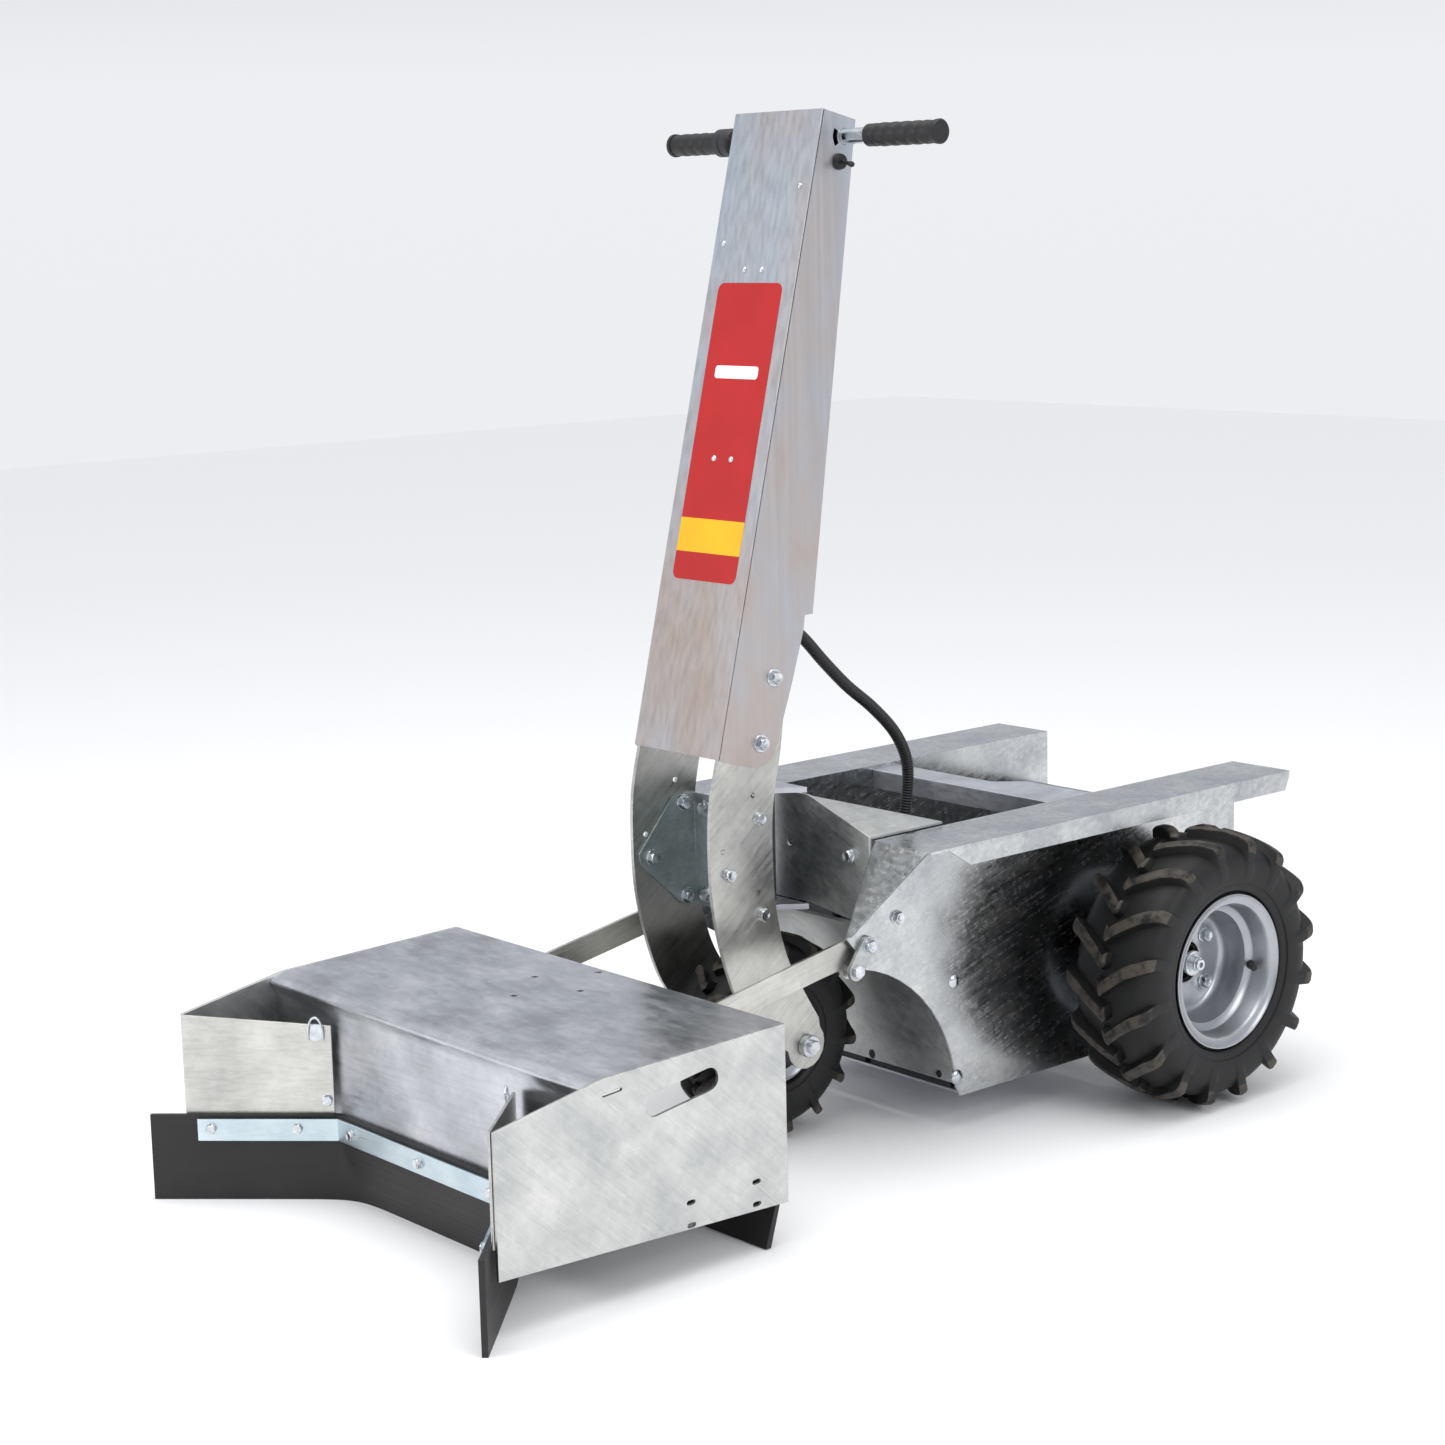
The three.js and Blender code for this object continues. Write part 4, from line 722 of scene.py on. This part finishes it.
def tyre(name, node, body, middle, bars, bar_width, sweep, material):
    """Tyre as one surface over (turn, way round the section). The section blends from the bare casing to the bar-top
    section wherever a bar covers that turn; the turn is sheared by the distance from the middle, which gives the
    chevron, and columns of points gather at the bar edges."""
    low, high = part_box(node)
    half = (high[0] - low[0]) / 2
    centre = ((low[0] + high[0]) / 2, middle[0], middle[1])
    outer = middle[1]
    bead = tyre_sections[name]["bead"]
    casing = np.array(tyre_sections[name]["casing"])
    tops = np.array(tyre_sections[name]["tops"])
    both = lambda side: np.vstack([through(side, 5) * (1, 1), through(side, 5)[-2::-1] * (-1, 1)])
    casing_line = both(casing) * MM
    top_line = both(tops) * MM
    inner_line = np.array(bead) * MM
    edge = bar_width / 2
    soft = bar_width * 0.14
    pitch = 2 * np.pi * outer / bars
    marks = np.array([-edge - soft, -edge - soft / 2, -edge, -edge / 2, 0, edge / 2,
                      edge, edge + soft / 2, edge + soft])
    phases = np.sort(np.concatenate([(marks / pitch) % 1, (marks / pitch + 0.5) % 1, np.array([0.25, 0.75])]))
    turn = ((np.arange(bars)[:, None] + phases[None, :]) / bars).reshape(-1) * 2 * np.pi
    across = casing_line[:, 0]
    shear = sweep * np.clip(np.abs(across) / half, 0, 1.0) ** 0.9
    phase = (turn[:, None] / (2 * np.pi) * bars) % 1
    off_right = np.abs((phase + 0.5) % 1 - 0.5) * pitch
    off_left = np.abs(phase - 0.5) * pitch
    past = 5 * MM
    cover = lambda off: 1 - smooth_step(off, edge - soft / 4, edge + soft)
    right = cover(off_right) * smooth_step(across, -past - 4 * MM, -past)[None, :]
    left = cover(off_left) * smooth_step(-across, -past - 4 * MM, -past)[None, :]
    bar = np.maximum(right, left)
    section = casing_line[None] + bar[..., None] * (top_line - casing_line)[None]
    height = bar * np.linalg.norm(top_line - casing_line, axis=1)[None]
    inner = np.broadcast_to(inner_line, (len(turn),) + inner_line.shape)
    section = np.concatenate([section, inner], 1)
    spin = turn[:, None] + np.concatenate([shear, np.zeros(len(inner_line))])[None, :]
    points = np.stack([section[..., 0], -section[..., 1] * np.cos(spin), section[..., 1] * np.sin(spin)], -1) + centre
    mesh = grid_mesh(name, points, (True, True))
    top = np.concatenate([smooth_step(height, 6 * MM, 9 * MM), np.zeros((len(turn), len(inner_line)))], 1)
    mesh.attributes.new("bar_top", "FLOAT", "POINT").data.foreach_set("value", top.reshape(-1).astype(np.float32))
    return piece(name, finish_mesh(mesh, 32), material, body, [node])


rear_section = {
    # (across, radius) in mm from the bead over the shoulder to the middle of the tread
    "casing": [(64.5, 102.2), (64.5, 113), (65, 118), (70, 121), (72, 127), (72.6, 133), (74.4, 134), (75.8, 146),
               (75.8, 158), (73.5, 169), (68, 178), (59, 185), (46, 189.5), (30, 192), (15, 193), (0, 193.4)],
    "tops": [(64.5, 102.2), (64.5, 113), (65, 118), (70, 121), (72, 127), (72.6, 133), (74.4, 134), (76.3, 146),
             (76.8, 160), (76.8, 176), (75.5, 194), (64, 200.5), (46, 204.5), (30, 206.6), (15, 207.6), (0, 207.8)],
    "bead": [(-52, 102.2), (-52, 116), (-66, 150), (-60, 172), (-30, 184), (0, 184), (30, 184), (60, 172), (66, 150),
             (52, 116), (52, 102.2)],
}
front_section = {
    "casing": [(31.5, 51.4), (31.5, 62), (33, 68), (38, 71), (41, 76), (41.6, 80), (43.4, 81), (46, 92), (47, 102),
               (45.5, 112), (42, 121), (36, 128), (28, 132.5), (18, 135.5), (9, 136.6), (0, 137)],
    "tops": [(31.5, 51.4), (31.5, 62), (33, 68), (38, 71), (41, 76), (41.6, 80), (43.4, 81), (46.4, 92), (47.8, 104),
             (47.8, 118), (47, 137), (40, 142.5), (28, 146.2), (18, 148.4), (9, 149.5), (0, 149.8)],
    "bead": [(-20, 51.4), (-20, 60), (-38, 88), (-36, 112), (-18, 128), (0, 128), (18, 128), (36, 112), (38, 88),
             (20, 60), (20, 51.4)],
}
tyre_sections = {"tractor_tyre_right": rear_section, "tractor_tyre_left": rear_section,
                 "tractor_tyre_front": front_section}
black_tyre = tyre_rubber("agricultural_tyre_rubber")
rear_axle = (0.549, 0.208)
front_axle = (-0.010, 0.150)
for hand in HANDS:
    tyre(f"tractor_tyre_{hand}", f"rear_tyre_{hand}", f"rear_wheel_{hand}", rear_axle, 16, 20 * MM, 0.26, black_tyre)
tyre("tractor_tyre_front", "front_tyre", "front_wheel", front_axle, 14, 14 * MM, 0.24, black_tyre)


# ---------------------------------------------------------------- wheel rims and hubs
# Pressed steel rims with deep dishes, sprayed silver. The drive flange behind each disc carries four bolts, and the
# axle end with its nut shows in the centre hole.
def silver_paint(name):
    """Sprayed silver: fine metal flake under lacquer, slight clouding from the spray."""
    material, tree, shader = new_material(name)
    shader.inputs["Metallic"].default_value = 0.85
    shader.inputs["Coat Weight"].default_value = 0.25
    shader.inputs["Coat Roughness"].default_value = 0.2
    place = add_node(tree, "TexCoord").outputs["Object"]
    cloud = add_node(tree, "TexNoise", {"Vector": place, "Scale": 1 / (55 * MM), "Detail": 3.0}).outputs["Fac"]
    flake = add_node(tree, "TexVoronoi", {"Vector": place, "Scale": 1 / (0.7 * MM)}).outputs["Color"]
    flake_tone = add_node(tree, "SeparateColor", {"Color": flake}).outputs["Red"]
    sparkle = add_ramp(tree, flake_tone, [(0.0, "#c9c9c9"), (1.0, "#ffffff")])
    base = add_ramp(tree, cloud, [(0.3, "#a2a5aa"), (0.7, "#b4b7bb")])
    coat = add_node(tree, "Mix", {"Factor": 0.35, "A": base, "B": sparkle}, data_type="RGBA", blend_type="MULTIPLY")
    wire(tree, coat.outputs["Result"], shader, "Base Color")
    shine = add_node(tree, "MapRange", {"Value": cloud, "To Min": 0.28, "To Max": 0.38})
    wire(tree, shine.outputs["Result"], shader, "Roughness")
    return material


rim_silver = silver_paint("sprayed_silver")
rim_low, rim_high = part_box("rear_rim_right")
rim_middle = (rim_low[0] + rim_high[0]) / 2
bolt_circle = 50 * MM
# (across from the rim's middle, radius) in mm: outer skin from the outer flange to the inner one
rim_outer = [(71, 113.5), (70.6, 115.3), (68.5, 115.4), (66.5, 113), (65.6, 104), (63, 101.4), (38, 99.6), (33, 97),
             (29, 87), (24, 85.4), (-24, 85.4), (-29, 87), (-33, 97), (-38, 99.6), (-63, 101.4), (-65.6, 104),
             (-66.5, 113),
             (-68.5, 115.4), (-70.6, 115.3), (-71, 113.5)]
rim_inner = [(-68, 111), (-66, 101), (-62, 98.2), (-38, 96.4), (-35, 94.6), (-31.5, 84.6), (-24, 82.4), (-17, 82.4)]
rim_disc_back = [(-15, 80), (-15, 74), (-15, 66), (-15, 58), (-15, 50), (-15, 44), (-15, 38), (-15, 32.5),
                 (-14.4, 31.2)]
rim_disc_front = [(-11.6, 31.2), (-11, 32.5), (-11, 38), (-11, 42), (-11, 46), (-11, 50), (-11, 54), (-11, 58),
                  (-11, 64),
                  (-11, 72), (-9, 76), (-6, 78.4), (-2, 80.2)]
rim_barrel = [(6, 81.6), (24, 82.4), (31.5, 84.6), (35, 94.6), (38, 96.4), (62, 98.2), (66, 101), (68, 111),
              (71, 113.5)]
rim_profile = np.array(rim_outer + rim_inner + rim_disc_back + rim_disc_front + rim_barrel) * MM


def pressed_rim(name, node, body, side, profile, centre, bosses):
    """Rim as a section carried round X; on the disc the skin swells outwards in a round boss at each bolt."""
    turn = np.linspace(0, 2 * np.pi, 145)[:-1][:, None]
    across, radius = profile[:, 0][None, :], profile[:, 1][None, :]
    y, z = radius * np.cos(turn), radius * np.sin(turn)
    swell = np.zeros_like(y)
    for k in range(bosses):
        angle = math.radians(45 + 360 / bosses * k)
        away = np.hypot(y - bolt_circle * math.cos(angle), z - bolt_circle * math.sin(angle))
        swell += 2.6 * MM * (1 - smooth_step(away, 12 * MM, 17 * MM)) * (np.abs(across + 13 * MM) < 3 * MM)
    points = np.stack([side * (across + swell), y, z], -1) + centre
    mesh = grid_mesh(name, points, (True, True))
    return piece(name, finish_mesh(mesh, 40), rim_silver, body, [node])


hub_iron = cast_metal("black_hub_casting", "#131314", "#222324", 0.5)
for hand, side in HANDS.items():
    body = f"rear_wheel_{hand}"
    pressed_rim(f"dished_rim_{hand}", f"rear_rim_{hand}", body, side, rim_profile,
                (side * rim_middle, *rear_axle), 4)
    hub_profile = [(x * MM, r * MM) for x, r in [
        (120, 0), (120, 12.5), (210, 12.5), (210, 24), (300, 28), (305, 60), (306, 61.5), (313, 61.5), (313.6, 60),
        (313.6, 27), (306, 26), (306, 15), (306, 0)]]
    piece(f"drive_flange_{hand}", finish_mesh(turned_part(
        f"drive_flange_{hand}", hub_profile, (0, *rear_axle), (side, 0, 0), 64)), hub_iron, body,
        [f"drive_hub_{hand}"])
    nut_profile = [(x * MM, r * MM) for x, r in [
        (306.2, 0), (306.2, 16), (326, 16), (326, 18.5), (327, 19), (332, 19), (333, 18.4), (333, 13.5), (335, 13.5),
        (335, 11), (342, 11), (342.8, 10.2), (342.8, 9), (346, 9), (347, 8), (347, 4), (341, 3.6), (341, 0)]]
    piece(f"axle_end_{hand}", finish_mesh(turned_part(
        f"axle_end_{hand}", nut_profile, (0, *rear_axle), (side, 0, 0), 48)), bolt_zinc, body)
    boss_face = side * (rim_middle - (11 - 2.6) * MM)
    wheel_bolts = [((boss_face, rear_axle[0] + bolt_circle * math.cos(a), rear_axle[1] + bolt_circle * math.sin(a)),
                    (side, 0, 0)) for a in np.radians([45, 135, 225, 315])]
    bolt_heads(f"wheel_bolts_{hand}", wheel_bolts, 17 * MM, 12 * MM, 11.5 * MM, bolt_zinc, body)
    valve_foot = Vector((side * (rim_middle + 34 * MM), rear_axle[0] + 94 * MM, rear_axle[1] - 14 * MM))
    valve_profile = [(m * MM, r * MM) for m, r in [
        (-4, 0), (-4, 7), (1, 7.4), (4, 6), (7, 4.6), (18, 4.0), (19, 5.0), (31, 5.0), (32, 4.2), (32, 0)]]
    piece(f"tyre_valve_{hand}", finish_mesh(turned_part(
        f"tyre_valve_{hand}", valve_profile, valve_foot, (side * 0.75, -0.65, 0.1), 24)), grip_rubber, body)

small_rim = np.array([
    (37, 63.5), (36.6, 65.6), (35, 65.8), (33.6, 64), (32.6, 54), (31, 50.6), (22, 49.4), (19, 46.4), (-19, 46.4),
    (-22, 49.4),
    (-31, 50.6), (-32.6, 54), (-33.6, 64), (-35, 65.8), (-36.6, 65.6), (-37, 63.5), (-35, 61), (-33, 50), (-24, 46.8),
    (-20, 43.6), (-8, 43), (-3, 41), (-2, 24), (-4, 22), (-58, 20), (-59, 19), (-59, 10.4), (59, 10.4), (59, 19),
    (58, 20),
    (4, 22), (2, 24), (3, 41), (8, 43), (20, 43.6), (24, 46.8), (33, 50), (35, 61)]) * MM
pressed_rim("small_rim", "front_rim", "front_wheel", 1, small_rim, (0, *front_axle), 0)

# Plain round axle through both fork arms, held by a set collar at each end.
axle_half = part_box("front_axle")[1][0]
axle_profile = [(-axle_half, 0), (-axle_half, 8.6 * MM), (-axle_half + 1.4 * MM, 10 * MM),
                (axle_half - 1.4 * MM, 10 * MM), (axle_half, 8.6 * MM), (axle_half, 0)]
piece("axle_bar", finish_mesh(turned_part("axle_bar", axle_profile, (0, *front_axle), (1, 0, 0))), bolt_zinc,
      "steering", ["front_axle"])
for hand, side in HANDS.items():
    low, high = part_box(f"axle_collar_{hand}")
    start, width = (low[0] if side > 0 else -high[0]), high[0] - low[0]
    collar_profile = [(0, 10.2 * MM), (0, 15 * MM), (1 * MM, 16 * MM), (width - 1 * MM, 16 * MM), (width, 15 * MM),
                      (width, 10.2 * MM), (0, 10.2 * MM)]
    piece(f"set_collar_{hand}", finish_mesh(turned_part(
        f"set_collar_{hand}", collar_profile, (side * start, *front_axle), (side, 0, 0))), bolt_zinc, "steering",
        [f"axle_collar_{hand}"])
    bolt_heads(f"collar_screw_{hand}", [((side * (start + width / 2), front_axle[0] - 9.3 * MM,
               front_axle[1] - 12.8 * MM),
               (0, -0.59, -0.81))], 5 * MM, 0.6 * MM, 0, grip_rubber, "steering", domed=True, sides=16)


# ---------------------------------------------------------------- scraper box and arms
# Folded and screwed galvanised box with angled wings, carried by two flat arms that pivot on the chassis.
# The clouds in the zinc lie a different way on each sheet.
box_zinc = zinc_coat("galvanised_box_side", ("#b6b8b8", "#c9cac8", "#d8d8d5"), (0.32, 0.46), (-42, 0, 0),
                     smear=0.22, scratch=0.3)
box_top_zinc = zinc_coat("galvanised_box_top", ("#b0b2b6", "#c5c7cc", "#d5d6da"), (0.28, 0.42), (0, 0, 84), smear=0.25)
wing_zinc = zinc_coat("galvanised_wing", ("#b9b9b5", "#cbcac5", "#dad9d4"), (0.28, 0.40), (0, 0, 90), crystal=0.1)
strap_zinc = zinc_coat("galvanised_flat_bar", ("#b5b4ae", "#c8c7c2", "#d8d7d2"), (0.28, 0.44), (12, 0, 0),
                       crystal=0.1, smear=0.35)
clamp_zinc = zinc_coat("blue_zinc_plate", ("#b6c6cf", "#c8d6dc", "#d6e1e5"), (0.26, 0.36), (0, 0, 90),
                       crystal=0.0, smear=0.15)
for node in hands("box_side"):
    dress(node, box_zinc)
dress("box_top_plate", box_top_zinc)
for node in hands("wing_plate"):
    dress(node, wing_zinc)
for node in hands("lift_arm", "arm_foot") + ["rear_crossbar"]:
    dress(node, strap_zinc)
for node in hands("arm_pivot_bolt"):
    dress(node, bolt_zinc, 0.8)
dress("clamp_bar_front", clamp_zinc, 0.7)


# ---------------------------------------------------------------- scraper rubbers
# One 8 mm rubber strip bent from wing to wing under the clamp bar, and a second strip behind the box.
# Both are cut from calendered black sheet.
def sheet_rubber(name):
    """Cut rubber sheet: black with a brownish bloom, faint horizontal calender lines."""
    material, tree, shader = new_material(name)
    place = add_node(tree, "TexCoord").outputs["Object"]
    bloom = add_node(tree, "TexNoise", {"Vector": place, "Scale": 1 / (110 * MM), "Detail": 5.0}).outputs["Fac"]
    wire(tree, add_ramp(tree, bloom, [(0.3, "#121113"), (0.7, "#1f1c1d")]), shader, "Base Color")
    lines_place = stretched(tree, place, (0, 0, 0), (160, 160, 2.5))
    lines = add_node(tree, "TexNoise", {"Vector": lines_place, "Scale": 1.0, "Detail": 3.0}).outputs["Fac"]
    shine = add_node(tree, "MapRange", {"Value": lines, "To Min": 0.40, "To Max": 0.62})
    wire(tree, shine.outputs["Result"], shader, "Roughness")
    relief = add_node(tree, "Bump", {"Height": lines, "Strength": 0.3, "Distance": 0.15 * MM})
    wire(tree, relief.outputs["Normal"], shader, "Normal")
    return material


blade_rubber = sheet_rubber("cut_rubber_sheet")
rubber_thick = 8 * MM
front_low, front_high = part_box("rubber_front")
wing_low, wing_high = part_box("rubber_wing_right")
blade_top = front_high[2]
blade_back = front_low[1] + rubber_thick
wing_slope = 1.0104  # how far a wing comes forward for each unit that it goes outwards
wing_width = math.hypot(1, wing_slope)
blade_end = wing_high[0]
blade_corner = blade_end - (blade_back - (wing_low[1] + rubber_thick / wing_width)) / wing_slope


def front_blade(name):
    """Rubber strip as a grid over (way across, way round its section). In plan the middle line turns into the wings
    by a softened corner that widens towards the foot, and the middle part leans back as it nears the floor."""
    across = np.linspace(-1, 1, 281)[:, None] * blade_end
    down = np.concatenate([np.linspace(0, 1, 25), np.linspace(1, 0, 25)])[None, :]
    outer = np.concatenate([np.ones(25), np.zeros(25)])[None, :]
    soft = (3 + 16 * smooth_step(down, 0.25, 1.0)) * MM
    past = (np.abs(across) - blade_corner) / soft
    turn_in = soft * np.logaddexp(0, past)
    lean = 19 * MM * smooth_step(down, 0.3, 1.2) / (1 + np.exp(past))
    slope = -wing_slope * np.sign(across) / (1 + np.exp(-past))
    length = np.sqrt(1 + slope**2)
    x = across + outer * rubber_thick * slope / length
    y = blade_back - wing_slope * turn_in + lean - outer * rubber_thick / length
    points = np.stack([x, y, blade_top * (1 - down) + 0 * x], -1)
    caps = [np.broadcast_to(points[k].mean(0), points[k].shape)[None] for k in (0, -1)]
    return grid_mesh(name, np.concatenate([caps[0], points, caps[1]]), (False, True))


piece("front_blade", finish_mesh(front_blade("front_blade")), blade_rubber, "scraper",
      hands("rubber_wing") + ["rubber_front"])
dress("rubber_rear", blade_rubber, 0.8)


# ---------------------------------------------------------------- scraper fastenings
# Hexagon bolts through the clamp bar and rubber, a coach bolt with nut low at each inner corner, and a bent wire
# clip on a small tab near each wing's upper inner corner.
bar_thick = 5 * MM
front_face = blade_back - rubber_thick - 0.3 * MM - bar_thick
clamp_bolt_z = 0.1015
clamp_bolt_pitch = 0.160
wing_bolt_ways = (0.037, 0.157)
wing_bolt_proud = 17.6 * MM
corner_bolt_way, corner_bolt_z = 0.198, 0.1395
clip_way, clip_z = 0.186, 0.236
wing_thick = 4 * MM
wing_way = Vector((-1, wing_slope, 0)) / wing_width
wing_out = Vector((-wing_slope, -1, 0)) / wing_width
wing_box_low, wing_box_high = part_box("wing_plate_right")
wing_foot = Vector((wing_box_high[0], wing_box_low[1] + wing_thick / wing_width, 0))


def on_wing(side, way, ahead, z):
    """Point on a wing: a way along it from its outer end, a distance in front of its back face, and a height."""
    place = wing_foot + wing_way * way + wing_out * ahead
    return (side * place.x, place.y, z)


clamp_bolts = [((x, front_face, clamp_bolt_z), (0, -1, 0)) for x in (-clamp_bolt_pitch, 0, clamp_bolt_pitch)]
for side in HANDS.values():
    for way in wing_bolt_ways:
        head = on_wing(side, way, wing_bolt_proud, clamp_bolt_z + 2 * MM)
        clamp_bolts.append((head, (side * wing_out.x, wing_out.y, 0)))
bolt_heads("clamp_bar_bolts", clamp_bolts, 13 * MM, 6 * MM, 7.5 * MM, bolt_zinc, "scraper")
corner_bolts = [(on_wing(side, corner_bolt_way, wing_thick, corner_bolt_z), (side * wing_out.x, wing_out.y, 0))
                for side in HANDS.values()]
bolt_heads("wing_corner_bolts", corner_bolts, 13 * MM, 7 * MM, 9 * MM, bolt_zinc, "scraper")

wire_radius = 1.7 * MM
for hand, side in HANDS.items():
    facing = (side * wing_out.x, wing_out.y, 0)
    tab_profile = [(0, 0), (0, 11 * MM), (1.2 * MM, 12 * MM), (3 * MM, 11.5 * MM), (3.4 * MM, 0)]
    piece(f"clip_tab_{hand}", finish_mesh(turned_part(
        f"clip_tab_{hand}", tab_profile, on_wing(side, clip_way, wing_thick, clip_z), facing, 32)),
        bolt_zinc, "scraper")
    bail = through(np.array([on_wing(side, w * MM, h * MM, z * MM) for w, h, z in [
        (176, 6, 226), (176, 9, 238), (179, 10, 252), (186, 10, 258), (193, 10, 252), (196, 9, 238),
        (196, 6, 226)]]), 10)
    piece(f"clip_wire_{hand}", finish_mesh(grid_mesh(
        f"clip_wire_{hand}", tube(bail, wire_radius, facing, 12), (False, True))),
        bolt_zinc, "scraper")
